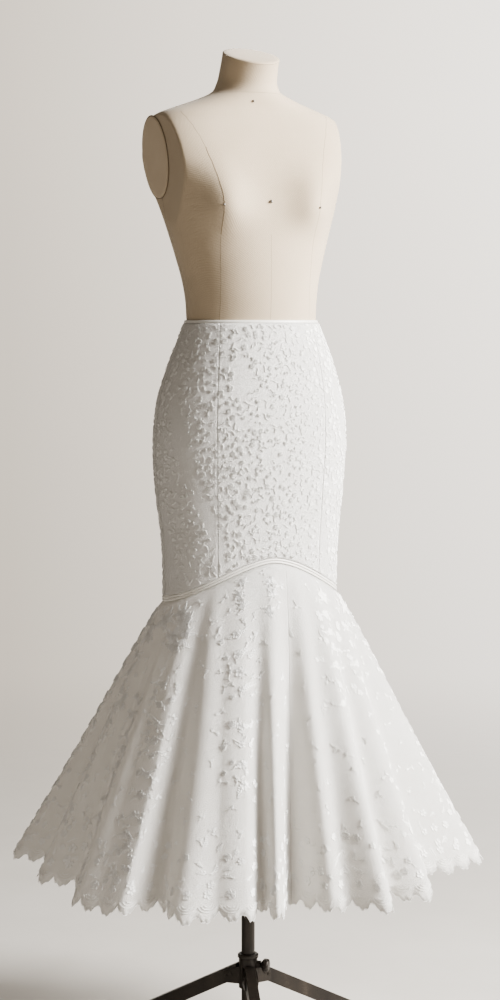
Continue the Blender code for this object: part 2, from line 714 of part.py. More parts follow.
def build_hub():
    """The collar that the pole slides in, with a pair of lugs for each leg and a boss for the knob."""
    bead = HUB_RADIUS + HUB_BEAD
    bead_top = HUB_TOP_Z - HUB_BEAD
    bead_bottom = bead_top - HUB_BEAD_HEIGHT
    profile = [
        (HUB_BORE, HUB_BOTTOM_Z),
        (HUB_RADIUS, HUB_BOTTOM_Z),
        (HUB_RADIUS, bead_bottom - HUB_BEAD),
        (bead, bead_bottom),
        (bead, bead_top),
        (HUB_RADIUS, HUB_TOP_Z),
        (HUB_BORE, HUB_TOP_Z),
    ]
    hub = add_object("stand_hub", turned(profile, 24), METAL, sharp_deg=35.0)
    lugs = []
    for degrees in LEG_DEGREES:
        inner = LEG_WIDTH / 2 + SEAM_GAP
        start, reach = HUB_BORE - CLEVIS_ROOT, CLEVIS_REACH_R
        outline = [
            (start, LEG_START_Z + CLEVIS_ABOVE),
            (reach, leg_height(reach) + CLEVIS_ABOVE),
            (reach, leg_height(reach) - CLEVIS_BELOW),
            (start, LEG_START_Z - CLEVIS_BELOW - CLEVIS_GUSSET),
        ]
        for low, high in ((inner, inner + CLEVIS_THICKNESS), (-inner - CLEVIS_THICKNESS, -inner)):
            lugs.append(add_object("lug", slab(degrees, outline, low, high), METAL))
    boss_start = radial(KNOB_DEG, (HUB_BORE + HUB_RADIUS) / 2, 0, KNOB_Z)
    boss_end = radial(KNOB_DEG, KNOB_START_R - BOSS_SHORT, 0, KNOB_Z)
    boss = cylinder(boss_start, boss_end, BOSS_RADIUS, 16)
    combine(hub, lugs + [add_object("boss", boss, METAL)], "UNION")
    hole_start = radial(KNOB_DEG, HUB_BORE / 4, 0, KNOB_Z)
    hole_end = radial(KNOB_DEG, 2 * KNOB_START_R, 0, KNOB_Z)
    stem_hole = cylinder(hole_start, hole_end, KNOB_STEM_RADIUS + SEAM_GAP, 16)
    overrun = HUB_RADIUS
    bore = cylinder((0, 0, HUB_BOTTOM_Z - overrun), (0, 0, HUB_TOP_Z + overrun), HUB_BORE, 24)
    cutters = [add_object("stem_hole", stem_hole, METAL), add_object("pole_bore", bore, METAL)]
    combine(hub, cutters, "DIFFERENCE")


def build_pole():
    top = WAIST_Z - FORM_DEPTH + SOCKET_DEPTH - SEAM_GAP
    tube = cylinder((0, 0, POLE_BOTTOM_Z), (0, 0, top), POLE_RADIUS, 24)
    add_object("stand_pole", tube, METAL, sharp_deg=35.0)


def build_knob():
    """The lobed hand knob on its clamping stem."""
    angle = math.radians(KNOB_DEG)
    out = np.array([math.sin(angle), -math.cos(angle), 0.0])
    across = np.array([-out[1], out[0], 0.0])
    up = np.array([0.0, 0.0, 1.0])
    centre = np.array([0.0, 0.0, KNOB_Z])
    turns = np.linspace(0, 2 * math.pi, KNOB_LOBES * 4, endpoint=False)
    lobes = 1 - 0.10 * (1 - np.cos(KNOB_LOBES * turns)) / 2

    def ring(radius, reach, waviness):
        size = radius * (1 - waviness + waviness * lobes)[:, None]
        return centre + reach * out + size * (np.cos(turns)[:, None] * across + np.sin(turns)[:, None] * up)

    far = KNOB_START_R + KNOB_LENGTH
    rings = [
        ring(KNOB_STEM_RADIUS, POLE_RADIUS + SEAM_GAP, 0),
        ring(KNOB_STEM_RADIUS, KNOB_START_R - 0.001, 0),
        ring(KNOB_RADIUS * 0.62, KNOB_START_R, 0.5),
        ring(KNOB_RADIUS, KNOB_START_R + 0.003, 1.0),
        ring(KNOB_RADIUS, far - 0.003, 1.0),
        ring(KNOB_RADIUS * 0.80, far, 1.0),
    ]
    add_object("stand_knob", loft(rings), METAL, origin=tuple(centre + KNOB_START_R * out), sharp_deg=50.0)


def build_all():
    clear_scene()
    build_panels()
    build_binding()
    build_piping()
    build_flounce()
    build_zip()
    build_form()
    build_legs()
    build_hub()
    build_pole()
    build_knob()


build_all()
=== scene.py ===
"""Looks of a mermaid wedding skirt of corded lace, worn by a linen dress form on a three-legged stand.

Metres, +Z up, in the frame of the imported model: the form faces -Y and its left side is +X.
Directions round the body are angles from the front, positive towards the form's left.
"""

import json
import math
import random
from collections import namedtuple

import bmesh
import bpy
import numpy as np
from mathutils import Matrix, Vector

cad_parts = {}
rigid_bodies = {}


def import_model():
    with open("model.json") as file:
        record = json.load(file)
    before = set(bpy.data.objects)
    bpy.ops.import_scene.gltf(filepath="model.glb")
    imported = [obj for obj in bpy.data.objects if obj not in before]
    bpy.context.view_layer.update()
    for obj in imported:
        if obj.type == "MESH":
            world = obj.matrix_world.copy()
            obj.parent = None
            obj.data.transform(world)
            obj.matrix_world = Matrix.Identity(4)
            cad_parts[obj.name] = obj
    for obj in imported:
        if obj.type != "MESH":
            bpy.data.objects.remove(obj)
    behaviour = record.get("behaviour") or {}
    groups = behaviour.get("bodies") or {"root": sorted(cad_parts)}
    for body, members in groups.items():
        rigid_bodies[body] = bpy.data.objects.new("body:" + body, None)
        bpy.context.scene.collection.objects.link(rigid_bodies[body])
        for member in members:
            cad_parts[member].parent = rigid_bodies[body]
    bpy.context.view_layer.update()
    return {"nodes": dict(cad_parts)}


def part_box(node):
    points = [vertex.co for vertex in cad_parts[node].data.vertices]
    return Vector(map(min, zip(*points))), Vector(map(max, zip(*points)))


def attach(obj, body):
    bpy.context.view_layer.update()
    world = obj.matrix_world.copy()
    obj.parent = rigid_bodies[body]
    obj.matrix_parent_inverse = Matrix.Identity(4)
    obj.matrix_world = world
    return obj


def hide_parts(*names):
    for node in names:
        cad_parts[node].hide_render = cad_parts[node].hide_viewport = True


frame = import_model()
random.seed(11)
between = random.uniform

# ---------------------------------------------------------------- sizes shared with the solids
WAIST_Z = 1.400
SEAM_GAP = 0.0003
CLOTH = 0.0020
BODY_CLEARANCE = 0.0008
BINDING_HEIGHT = 0.0050
ARCH_TOP = 0.426
ARCH_DROP = 0.077
ARCH_WIDTH_DEG = 49.0
ARCH_POWER = 1.76
CORD_RADIUS = 0.0024
CORD_INSET = 0.0005
CORD_SPREAD = CORD_RADIUS * math.cos(math.pi / 6) + SEAM_GAP / 2
HEM_DEPTH = 0.985
HEM_MEAN_RADIUS = 0.395
FOLD_POWER = 1.22
SWELL = 0.038
SWELL_RISE = 0.6
SWELL_FALL = 3.0
SCALLOP_LENGTH = 0.042
SCALLOP_DEPTH = 0.014
SIDE_SEAM_DEG = 90.0
BACK_SEAM_DEG = 180.0
FLOUNCE_FRONT_SEAM_DEG = 8.0
ZIP_LENGTH = 0.180
ZIP_SLOT_HALF = 0.0018
ZIP_CLOSING = 0.020
FORM_DEPTH = 0.340
PLATE_X = 0.166
PLATE_TURN = 0.14
PLATE_SPLAY = 0.07
PLATE_CENTRE = (0.027, 0.289)
PLATE_HALF_WIDTH = 0.046
PLATE_HALF_HEIGHT = 0.073
PLATE_TILT_DEG = 8.0
BUST_X = 0.090
BUST_HEIGHT = 0.198
BUST_RISE = 0.026
BUST_SPREAD = 0.044
BUST_ABOVE = 0.062
BUST_BELOW = 0.040
NECK_START = 0.400
NECK_TOP = 0.467
NECK_TILT_DEG = 20.0
LEG_DEGREES = (-14.0, 106.0, -134.0)
LEG_SLOPE_DEG = 28.0
LEG_START_R = 0.0200
LEG_START_Z = 0.190

# Outline of the close-fitting part: depth below the waist, half width and half depth, how far the section
# sits back, and how far the front princess seams run from the centre front.
Section = namedtuple("Section", "depth half_width half_depth centre_y seam_x")
SECTIONS = [Section(*row) for row in (
    (0.000, 0.1232, 0.0930, -0.016, 0.086), (0.045, 0.1414, 0.1060, -0.016, 0.093),
    (0.090, 0.1588, 0.1150, -0.014, 0.098), (0.140, 0.1735, 0.1210, -0.012, 0.102),
    (0.220, 0.1822, 0.1230, -0.011, 0.1035), (0.300, 0.1782, 0.1190, -0.009, 0.101),
    (0.400, 0.1672, 0.1102, -0.011, 0.098), (0.520, 0.1648, 0.1080, -0.010, 0.097),
)]
# The form above the waist: height, half width, front and back of each section, and its squareness.
Torso = namedtuple("Torso", "height half_width front back square")
TORSO = [Torso(*row) for row in (
    (0.000, 0.1204, -0.1062, 0.0742, 2.0), (0.040, 0.1224, -0.1100, 0.0805, 2.0),
    (0.075, 0.1280, -0.1105, 0.0870, 2.0), (0.110, 0.1368, -0.1105, 0.0930, 2.05),
    (0.146, 0.1465, -0.1100, 0.1000, 2.1), (0.181, 0.1560, -0.1095, 0.1080, 2.2),
    (0.217, 0.1672, -0.1070, 0.1140, 2.4), (0.250, 0.1800, -0.1020, 0.1170, 2.8),
    (0.285, 0.1920, -0.0930, 0.1170, 3.0), (0.315, 0.1920, -0.0820, 0.1120, 3.0),
    (0.340, 0.1840, -0.0690, 0.1040, 2.9), (0.356, 0.1760, -0.0600, 0.0960, 2.6),
    (0.366, 0.1650, -0.0560, 0.0900, 2.4), (0.376, 0.1400, -0.0520, 0.0850, 2.3),
    (0.387, 0.1080, -0.0510, 0.0770, 2.2), (0.397, 0.0820, -0.0500, 0.0710, 2.1),
    (0.406, 0.0640, -0.0500, 0.0650, 2.0), (0.418, 0.0560, -0.0500, 0.0620, 2.0),
    (0.444, 0.0515, -0.0560, 0.0490, 2.0), (NECK_TOP, 0.0505, -0.0645, 0.0375, 2.0),
)]
# Ridges and valleys of the flounce: where each starts at the piping, where it ends at the hem, and how far
# from the pole it is there.
Fold = namedtuple("Fold", "seam_deg hem_deg radius")
FOLDS = [Fold(*row) for row in (
    (-170, -170, 0.420), (-157, -157, 0.355), (-145, -145, 0.432), (-133, -133, 0.368),
    (-115, -115, 0.437), (-100, -102, 0.368), (-88, -88, 0.406), (-76, -77, 0.368), (-65, -64, 0.430),
    (-58, -58, 0.427), (-51, -52, 0.432), (-43, -46, 0.365), (-36, -38, 0.426), (-29, -29, 0.392),
    (-21, -22.5, 0.398), (-11, -17.8, 0.352), (-2, -14.8, 0.400), (8, -7.5, 0.300), (16, 0.5, 0.385),
    (21, 5, 0.368), (29, 11.5, 0.430), (39, 19.5, 0.365), (49, 27.5, 0.412), (60, 43, 0.338),
    (71, 66, 0.430), (82, 80, 0.360), (94, 93, 0.413), (105, 104, 0.355), (118, 118, 0.430),
    (131, 131, 0.360), (143, 143, 0.415), (154, 154, 0.345), (166, 166, 0.435), (178, 178, 0.370),
)]

# ---------------------------------------------------------------- what the scene adds
# Soft ridges (positive rise) and troughs of the flounce, placed one by one: the seam angle, how wide each
# is, the levels between which it runs from the piping (0) to the hem (1), and how far it rises.
Crease = namedtuple("Crease", "seam_deg width_deg start end rise")
CREASES = [Crease(*row) for row in (
    (-106, 3.0, 0.10, 0.95, 0.0040), (-94, 2.4, 0.02, 0.60, -0.0030), (-82, 2.2, 0.15, 0.90, 0.0030),
    (-70, 2.0, 0.00, 0.55, -0.0030), (-61, 1.8, 0.25, 0.95, -0.0035), (-54, 1.9, 0.05, 0.50, 0.0025),
    (-37, 2.6, 0.05, 1.60, -0.0080), (-27, 4.4, 0.05, 1.60, 0.0100), (22, 2.4, 0.10, 1.40, 0.0060),
    (44, 2.6, 0.15, 1.20, 0.0030), (54, 2.2, 0.00, 0.70, -0.0030), (65, 2.4, 0.10, 0.90, 0.0035),
    (77, 2.4, 0.00, 0.60, -0.0030), (88, 2.6, 0.20, 0.98, 0.0035), (100, 2.4, 0.00, 0.70, -0.0030),
    (111, 2.6, 0.10, 0.90, 0.0035), (125, 2.4, 0.05, 0.80, -0.0030), (137, 2.6, 0.00, 0.60, 0.0030),
    (149, 2.4, 0.15, 0.95, -0.0035), (160, 2.6, 0.00, 0.75, 0.0030), (173, 2.4, 0.10, 0.90, -0.0030),
    (-175, 2.4, 0.00, 0.70, 0.0030), (-163, 2.6, 0.10, 0.95, -0.0035), (-151, 2.4, 0.00, 0.60, 0.0030),
    (-139, 2.6, 0.15, 0.90, 0.0030), (-124, 2.8, 0.00, 0.80, -0.0035),
)]
LACE_LIFT = 0.0004
LOBES_PER_SCALLOP = 3.5
LOBE_DEPTH = 0.0038
UNEVEN = 0.0020
PICOT_LENGTH = 0.0056
PICOT_WIDTH = 0.0012
PICOT_LEVEL = 0.0034
HEM_STEP = 0.0026
EYELASH_PITCH = 0.003
EYELASH_HALF = 0.0002
EYELASH_TIP = 0.00008
PANEL_ROWS = 96
GORE_ROWS = 58
COVER_COLUMNS = 160
HIP_DEPTH = 0.52
HIP_GAP = 0.0096
HIP_TRIES = 40000
HIP_LACE_CLEAR_DEG = 0.3
BORDER_GAP = 0.0190
SPRIG_GAP = 0.0330
FLOUNCE_TRIES = 9000
GORE_LACE_CLEAR_DEG = 0.15
BORDER_LEVEL = 0.80
FAN_LEVEL = 0.972
HEM_FLOWER_LEVEL = 0.938
GARLAND_STEP = 0.033
GARLAND_SWAY_DEG = 1.6
TAPE_HALF_DEG = 0.45
STITCHES = 118
STITCH_START = 0.009
STITCH_PITCH = 0.0042
TOOTH_PITCH = 0.0014
LINEN_THREAD = 0.0009
RIVET_RADIUS = 0.0032
RIVET_HALF = 0.0138
RIVET_EDGE = 0.0008
RIVET_REACHES = (("inner", 0.031), ("outer", 0.040))
FLOOR_RADIUS = 6.0
CAMERA_PLACE = (-1.3636, -3.3750, 1.400)
CAMERA_RIGHT = (0.9272, -0.3746, 0.0)
CAMERA_SIDESTEP = 0.0036
CAMERA_LENS_MM = 72.0
CAMERA_DOWN_DEG = 5.14
CAMERA_TURN_DEG = -22.0
KEY_HEADING = (0.800, -0.600)
KEY_TARGET_Z = 1.15
KEY_REACH = 3.4
KEY_HEIGHT_DEG = 24.0
KEY_POWER = 600.0
BACK_POWER = 30.0
FILL_POWER = 4.0
WORLD_LIGHT = 0.235


# ---------------------------------------------------------------- curves and surfaces
def smooth(table, column, at):
    """The named column of a table at a value of its first column, on a smooth curve through the rows."""
    keys = np.array([row[0] for row in table])
    values = np.array([getattr(row, column) for row in table])
    slopes = np.gradient(values, keys)
    low = np.clip(np.searchsorted(keys, at) - 1, 0, len(keys) - 2)
    span = keys[low + 1] - keys[low]
    u = (at - keys[low]) / span
    rise = values[low + 1] - values[low]
    start = slopes[low] * span
    end = slopes[low + 1] * span
    return values[low] + u * start + u**2 * (3 * rise - 2 * start - end) + u**3 * (start + end - 2 * rise)


def unit(vectors):
    """Vectors of length 1."""
    return vectors / np.linalg.norm(vectors, axis=-1, keepdims=True)


def skirt_point(degrees, depth):
    """A point on the outside of the skirt's close-fitting part."""
    angle = np.radians(degrees)
    x = smooth(SECTIONS, "half_width", depth) * np.sin(angle)
    y = smooth(SECTIONS, "centre_y", depth) - smooth(SECTIONS, "half_depth", depth) * np.cos(angle)
    return np.stack([x, y, WAIST_Z - depth + 0 * x], axis=-1)


def skirt_normal(degrees, depth):
    """The level direction that points out of the skirt there."""
    angle = np.radians(degrees)
    x = np.sin(angle) / smooth(SECTIONS, "half_width", depth)
    y = -np.cos(angle) / smooth(SECTIONS, "half_depth", depth)
    return unit(np.stack([x, y, 0 * x], axis=-1))


def princess_degrees(depth):
    """The angle of the front princess seam at that depth."""
    share = smooth(SECTIONS, "seam_x", depth) / smooth(SECTIONS, "half_width", depth)
    return np.degrees(np.arcsin(share))


def right_princess_degrees(depth):
    """The same on the form's right."""
    return -princess_degrees(depth)


def arch_depth(degrees):
    """How far below the waist the piping runs: highest at the centre front, level round the back."""
    wrapped = np.abs((degrees + 180.0) % 360.0 - 180.0)
    return ARCH_TOP + ARCH_DROP * (1 - np.exp(-((wrapped / ARCH_WIDTH_DEG) ** ARCH_POWER)))


def arch_frame(degrees):
    """The piping's middle line, with the directions out of the cloth and up along it."""
    step = 0.05
    depth = arch_depth(degrees)
    here = skirt_point(degrees, depth)
    after = skirt_point(degrees + step, arch_depth(degrees + step))
    before = skirt_point(degrees - step, arch_depth(degrees - step))
    out = skirt_normal(degrees, depth)
    up = unit(np.cross(out, unit(after - before)))
    return here, out, up


def seam_shift(degrees):
    """The drop from the piping's middle line to the edge of the cloth beside it."""
    up = arch_frame(degrees)[2]
    return (CORD_SPREAD + CORD_RADIUS + SEAM_GAP) / up[..., 2]


# The folds with the ones beyond the centre back repeated at both ends.
ROUND_FOLDS = [Fold(fold.seam_deg + turn, fold.hem_deg + turn, fold.radius)
               for turn, folds in ((-360, FOLDS[-3:]), (0, FOLDS), (360, FOLDS[:3])) for fold in folds]


def fold_radius(degrees):
    """Hem radius at an angle of the seam, rounded alike on ridges and in valleys."""
    keys = np.array([fold.seam_deg for fold in ROUND_FOLDS])
    radii = np.array([fold.radius for fold in ROUND_FOLDS])
    low = np.clip(np.searchsorted(keys, degrees) - 1, 0, len(keys) - 2)
    share = (degrees - keys[low]) / (keys[low + 1] - keys[low])
    return radii[low] + (radii[low + 1] - radii[low]) * (1 - np.cos(math.pi * share)) / 2


def crease_rise(degrees, level):
    """How far the placed creases push the flounce out or in."""
    rise = np.zeros(np.broadcast(degrees, level).shape)
    for crease in CREASES:
        off = (degrees - crease.seam_deg + 180.0) % 360.0 - 180.0
        across = np.exp(-((off / crease.width_deg / 1.4) ** 2))
        share = np.clip((level - crease.start) / (crease.end - crease.start), 0, 1)
        rise = rise + crease.rise * across * np.sin(math.pi * share) ** 1.6
    return rise


def flounce_top(degrees):
    """Depth of the edge of the flounce at the piping."""
    return arch_depth(degrees) + seam_shift(degrees)


def hem_depth_at(degrees):
    """Depth of the scalloped hem, whose scallops have small uneven lobes of their own."""
    turn = SCALLOPS * hem_along(degrees) / HEM_LENGTH
    bump = np.abs(np.sin(math.pi * turn))
    lobes = np.abs(np.sin(math.pi * LOBES_PER_SCALLOP * turn))
    uneven = np.sin(2.3 * turn) + np.sin(0.83 * turn + 1.0)
    return HEM_DEPTH + SCALLOP_DEPTH * (bump - 0.5) + LOBE_DEPTH * (lobes - 0.6) + UNEVEN * uneven


def hem_level(degrees):
    """The level at which the scalloped hem ends the flounce there, close to 1."""
    top_depth = flounce_top(degrees)
    return (hem_depth_at(degrees) - top_depth) / (HEM_DEPTH - top_depth)


def flounce_point(degrees, level):
    """A point on the outside of the flounce: level 0 at the piping and 1 at the middle of the scallops."""
    top_depth = flounce_top(degrees)
    top = skirt_point(degrees, top_depth)
    hem_angle = np.radians(smooth(ROUND_FOLDS, "hem_deg", degrees))
    out = np.stack([np.sin(hem_angle), -np.cos(hem_angle), 0 * hem_angle], axis=-1)
    rise = crease_rise(degrees, level)[..., None]
    level = np.asarray(level)[..., None]
    fold = (fold_radius(degrees) - HEM_MEAN_RADIUS)[..., None]
    swell = SWELL * level**SWELL_RISE * np.clip(1 - level, 0, 1) ** SWELL_FALL
    plan = top * (1 - level) + out * (HEM_MEAN_RADIUS * level + fold * level**FOLD_POWER + swell + rise)
    depth = top_depth + (HEM_DEPTH - top_depth) * level[..., 0]
    return np.stack([plan[..., 0], plan[..., 1], WAIST_Z - depth], axis=-1)


def flounce_normal(degrees, level):
    """Out of the flounce's cloth, from its slopes along and down."""
    turn, drop = 0.05, 0.01
    after = flounce_point(degrees + turn, level)
    before = flounce_point(degrees - turn, level)
    down = flounce_point(degrees, level + drop) - flounce_point(degrees, np.clip(level - drop, 0.001, 2))
    return unit(np.cross(down, after - before))


def measure_hem():
    """Angles and cloth length along the plain hem."""
    fine = np.linspace(-BACK_SEAM_DEG, BACK_SEAM_DEG, 7201)
    hem_angle = np.radians(smooth(ROUND_FOLDS, "hem_deg", fine))
    radius = fold_radius(fine)
    points = np.stack([radius * np.sin(hem_angle), -radius * np.cos(hem_angle)], axis=-1)
    steps = np.linalg.norm(np.diff(points, axis=0), axis=1)
    return fine, np.concatenate([[0], np.cumsum(steps)])


HEM_RULER = measure_hem()
HEM_LENGTH = HEM_RULER[1][-1]
SCALLOPS = 4 * round(HEM_LENGTH / SCALLOP_LENGTH / 4)


def hem_along(degrees):
    """How far along the hem the cloth below an angle of the seam lies."""
    return np.interp(degrees, *HEM_RULER)


def hem_degrees(along):
    """The angle of the seam above a place along the hem."""
    return np.interp(along, *HEM_RULER[::-1])


def plate_distance(y, height):
    """How far from the middle the flat armhole planes lie, wider apart towards the back and the top."""
    return PLATE_X + PLATE_TURN * (y - PLATE_CENTRE[0]) + PLATE_SPLAY * (height - PLATE_CENTRE[1])


def bust_rise(x, height):
    """How far the bust stands forward, spread wider above its height than below."""
    spread = np.where(height > BUST_HEIGHT, BUST_ABOVE, BUST_BELOW)
    level = np.exp(-(((height - BUST_HEIGHT) / spread) ** 2))
    across = np.exp(-(((np.abs(x) - BUST_X) / BUST_SPREAD) ** 2))
    return BUST_RISE * level * across


def torso_point(degrees, height):
    """A point on the form's cover, above or below the waist."""
    angle = np.radians(degrees)
    above = height > 0
    up, down = np.where(above, height, 0.0), np.where(above, 0.0, -height)
    inset = CLOTH + BODY_CLEARANCE
    front, back = smooth(TORSO, "front", up), smooth(TORSO, "back", up)
    width, depth = (smooth(SECTIONS, name, down) - inset for name in ("half_width", "half_depth"))
    half_width = np.where(above, smooth(TORSO, "half_width", up), width)
    half_depth = np.where(above, (back - front) / 2, depth)
    centre_y = np.where(above, (back + front) / 2, smooth(SECTIONS, "centre_y", down))
    square = np.where(above, smooth(TORSO, "square", up), 2.0)
    side = np.sign(np.sin(angle)) * np.abs(np.sin(angle)) ** (2 / square)
    ahead = np.sign(np.cos(angle)) * np.abs(np.cos(angle)) ** (2 / square)
    x = half_width * side
    y = centre_y - half_depth * ahead - bust_rise(x, height) * np.clip(ahead, 0, 1) * above
    widest = np.where(above, plate_distance(y, height), 1.0)
    x = np.clip(x, -widest, widest)
    up_the_neck = np.clip((height - NECK_START) / (NECK_TOP - NECK_START), 0, 1)
    tilt = math.tan(math.radians(NECK_TILT_DEG)) * up_the_neck
    return np.stack([x, y, WAIST_Z + height + tilt * (y - centre_y)], axis=-1)


def torso_normal(degrees, height):
    """Out of the form's cover, from its slopes round and up."""
    turn, rise = 0.4, 0.001
    along = torso_point(degrees + turn, height) - torso_point(degrees - turn, height)
    up = torso_point(degrees, height + rise) - torso_point(degrees, height - rise)
    return unit(np.cross(along, up))


# ---------------------------------------------------------------- materials
def rgb(colour):
    """A colour for a node's socket, fully opaque."""
    return (*colour, 1.0)


class Tree:
    """Short calls for building a node tree."""

    def __init__(self, tree):
        self.tree = tree

    def feed(self, socket, value):
        """Links another socket to this one, or gives it a number or a colour."""
        if isinstance(value, bpy.types.NodeSocket):
            self.tree.links.new(value, socket)
        else:
            socket.default_value = value

    def add(self, kind, feeds=None, **settings):
        """A new node, first with its settings and then with what feeds its inputs, by name or number."""
        node = self.tree.nodes.new(kind)
        for key, value in settings.items():
            setattr(node, key, value)
        for key, value in (feeds or {}).items():
            self.feed(node.inputs[key], value)
        return node

    def math(self, operation, first, second):
        return self.add("ShaderNodeMath", {0: first, 1: second}, operation=operation).outputs[0]

    def ranged(self, value, start, end, low=0.0, high=1.0, **settings):
        """The value, taken from the range start to end into the range low to high."""
        feeds = {"Value": value, "From Min": start, "From Max": end, "To Min": low, "To Max": high}
        return self.add("ShaderNodeMapRange", feeds, **settings).outputs["Result"]

    def mixed(self, share, first, second, kind):
        """Sends two shaders, mixed by a share, to the tree's output."""
        mix = self.add("ShaderNodeMixShader", {0: share, 1: first, 2: second})
        end = self.tree.nodes.get(kind + " Output") or self.add(f"ShaderNodeOutput{kind}")
        self.feed(end.inputs["Surface"], mix.outputs["Shader"])


class Nodes(Tree):
    """A material, whose textures lie in the model's own metres."""

    def __init__(self, name):
        self.material = bpy.data.materials.new(name)
        self.material.use_nodes = True
        super().__init__(self.material.node_tree)
        self.shader = self.tree.nodes["Principled BSDF"]
        self.place = self.add("ShaderNodeTexCoord").outputs["Object"]

    def noise(self, scale, detail, rough, stretch=None):
        place = self.place
        if stretch:
            place = self.add("ShaderNodeMapping", {"Scale": stretch, "Vector": place}).outputs["Vector"]
        feeds = {"Scale": scale, "Detail": detail, "Roughness": rough, "Vector": place}
        return self.add("ShaderNodeTexNoise", feeds).outputs["Fac"]

    def threads(self, direction):
        """Bands as wide as the linen's threads."""
        feeds = {"Scale": 1.0 / LINEN_THREAD / 6.283, "Distortion": 1.5, "Vector": self.place}
        node = self.add("ShaderNodeTexWave", feeds, wave_type="BANDS", bands_direction=direction)
        return node.outputs["Fac"]

    def ramp(self, value, stops):
        node = self.add("ShaderNodeValToRGB", {"Fac": value})
        ramp = node.color_ramp
        while len(ramp.elements) < len(stops):
            ramp.elements.new(0.5)
        for element, (position, colour) in zip(ramp.elements, stops):
            element.position = position
            element.color = rgb(colour)
        return node.outputs["Color"]

    def own(self, **values):
        """Sets the shader's own sockets."""
        for key, value in values.items():
            self.feed(self.shader.inputs[key.replace("_", " ")], value)

    def dress(self, tone, stops, grain, rough, relief, bump, **values):
        """Colours the shader by tone, roughens it by grain and raises it by relief."""
        distance, strength = bump
        raised = self.add("ShaderNodeBump", {"Height": relief, "Distance": distance, "Strength": strength})
        self.own(Base_Color=self.ramp(tone, stops), Roughness=self.ranged(grain, 0.0, 1.0, *rough),
                 Normal=raised.outputs["Normal"], **values)
        return self.material


def linen(name, dark, light):
    """Woven cloth: threads both ways, small slubs and slow changes of tone."""
    nodes = Nodes(name)
    slubs = nodes.noise(900.0, 2.0, 0.6, (1.0, 1.0, 6.0))
    weave = nodes.math("ADD", nodes.math("MULTIPLY", nodes.threads("DIAGONAL"), nodes.threads("Z")), slubs)
    tone = nodes.math("ADD", nodes.noise(6.0, 4.0, 0.55), nodes.math("MULTIPLY", slubs, 0.35))
    return nodes.dress(tone, [(0.35, dark), (0.95, light)], slubs, (0.72, 0.95), weave, (0.0002, 0.8),
                       Sheen_Weight=0.25, Sheen_Roughness=0.5)


def lace_ground(name, dark, light):
    """The plain ground under the cords: fine mesh over satin, with its small cells."""
    nodes = Nodes(name)
    feeds = {"Scale": 900.0, "Vector": nodes.place}
    mesh = nodes.add("ShaderNodeTexVoronoi", feeds, feature="DISTANCE_TO_EDGE").outputs["Distance"]
    cloud, slow = nodes.noise(34.0, 4.0, 0.6), nodes.noise(5.0, 2.0, 0.5)
    tone = nodes.math("ADD", nodes.math("MULTIPLY", cloud, 0.55), nodes.math("MULTIPLY", slow, 0.45))
    relief = nodes.math("ADD", nodes.math("MULTIPLY", mesh, 6.0), cloud)
    return nodes.dress(tone, [(0.30, dark), (0.70, light)], cloud, (0.55, 0.80), relief, (0.0006, 0.7),
                       Sheen_Weight=0.3, Sheen_Roughness=0.4)


def sheer(material, colour, share):
    """Lets part of the light that falls on the back of a thin net through to its front."""
    tree = Tree(material.node_tree)
    through = tree.add("ShaderNodeBsdfTranslucent", {"Color": rgb(colour)})
    front = material.node_tree.nodes["Principled BSDF"]
    tree.mixed(share, front.outputs["BSDF"], through.outputs["BSDF"], "Material")
    return material


def painted_metal(name, dark, light, worn):
    """Satin paint over metal, worn a little lighter where it is rubbed."""
    nodes = Nodes(name)
    speck, streak = nodes.noise(420.0, 4.0, 0.65), nodes.noise(26.0, 3.0, 0.6, (1.0, 1.0, 0.25))
    wear = nodes.math("ADD", nodes.math("MULTIPLY", speck, 0.4), nodes.math("MULTIPLY", streak, 0.6))
    stops = [(0.35, dark), (0.60, light), (0.78, worn)]
    return nodes.dress(wear, stops, speck, (0.32, 0.52), speck, (0.0002, 0.35),
                       Metallic=0.55, Coat_Weight=0.15, Coat_Roughness=0.3)


def grained(name, dark, light, noise, ends, rough, bump, **values):
    """A material whose colour, roughness and bump follow one fine noise."""
    nodes = Nodes(name)
    grain = nodes.noise(*noise)
    return nodes.dress(grain, list(zip(ends, (dark, light))), grain, rough, grain, bump, **values)


def corded(name, dark, light):
    """The raised threads of the lace: twisted, bright, softly shining."""
    return grained(name, dark, light, (1400.0, 2.0, 0.7), (0.25, 0.70), (0.45, 0.70), (0.0003, 0.8),
                   Sheen_Weight=0.35, Sheen_Roughness=0.3)


def satin(name, dark, light):
    """Smooth, softly shining cloth."""
    return grained(name, dark, light, (500.0, 3.0, 0.6, (1.0, 1.0, 4.0)), (0.2, 0.8), (0.30, 0.50),
                   (0.0002, 0.5), Sheen_Weight=0.3)


def plain(name, dark, light, scale, rough, metallic=0.0):
    """A hard material with a fine grain."""
    return grained(name, dark, light, (scale, 4.0, 0.6), (0.3, 0.7), rough, (0.0003, 0.4),
                   Metallic=metallic)


LACE_BASE = lace_ground("lace_over_satin", (0.74, 0.72, 0.69), (0.82, 0.805, 0.78))
LACE_CORD = corded("lace_cord", (0.76, 0.745, 0.715), (0.85, 0.84, 0.815))
NET_BASE = lace_ground("flounce_net", (0.80, 0.78, 0.745), (0.87, 0.855, 0.825))
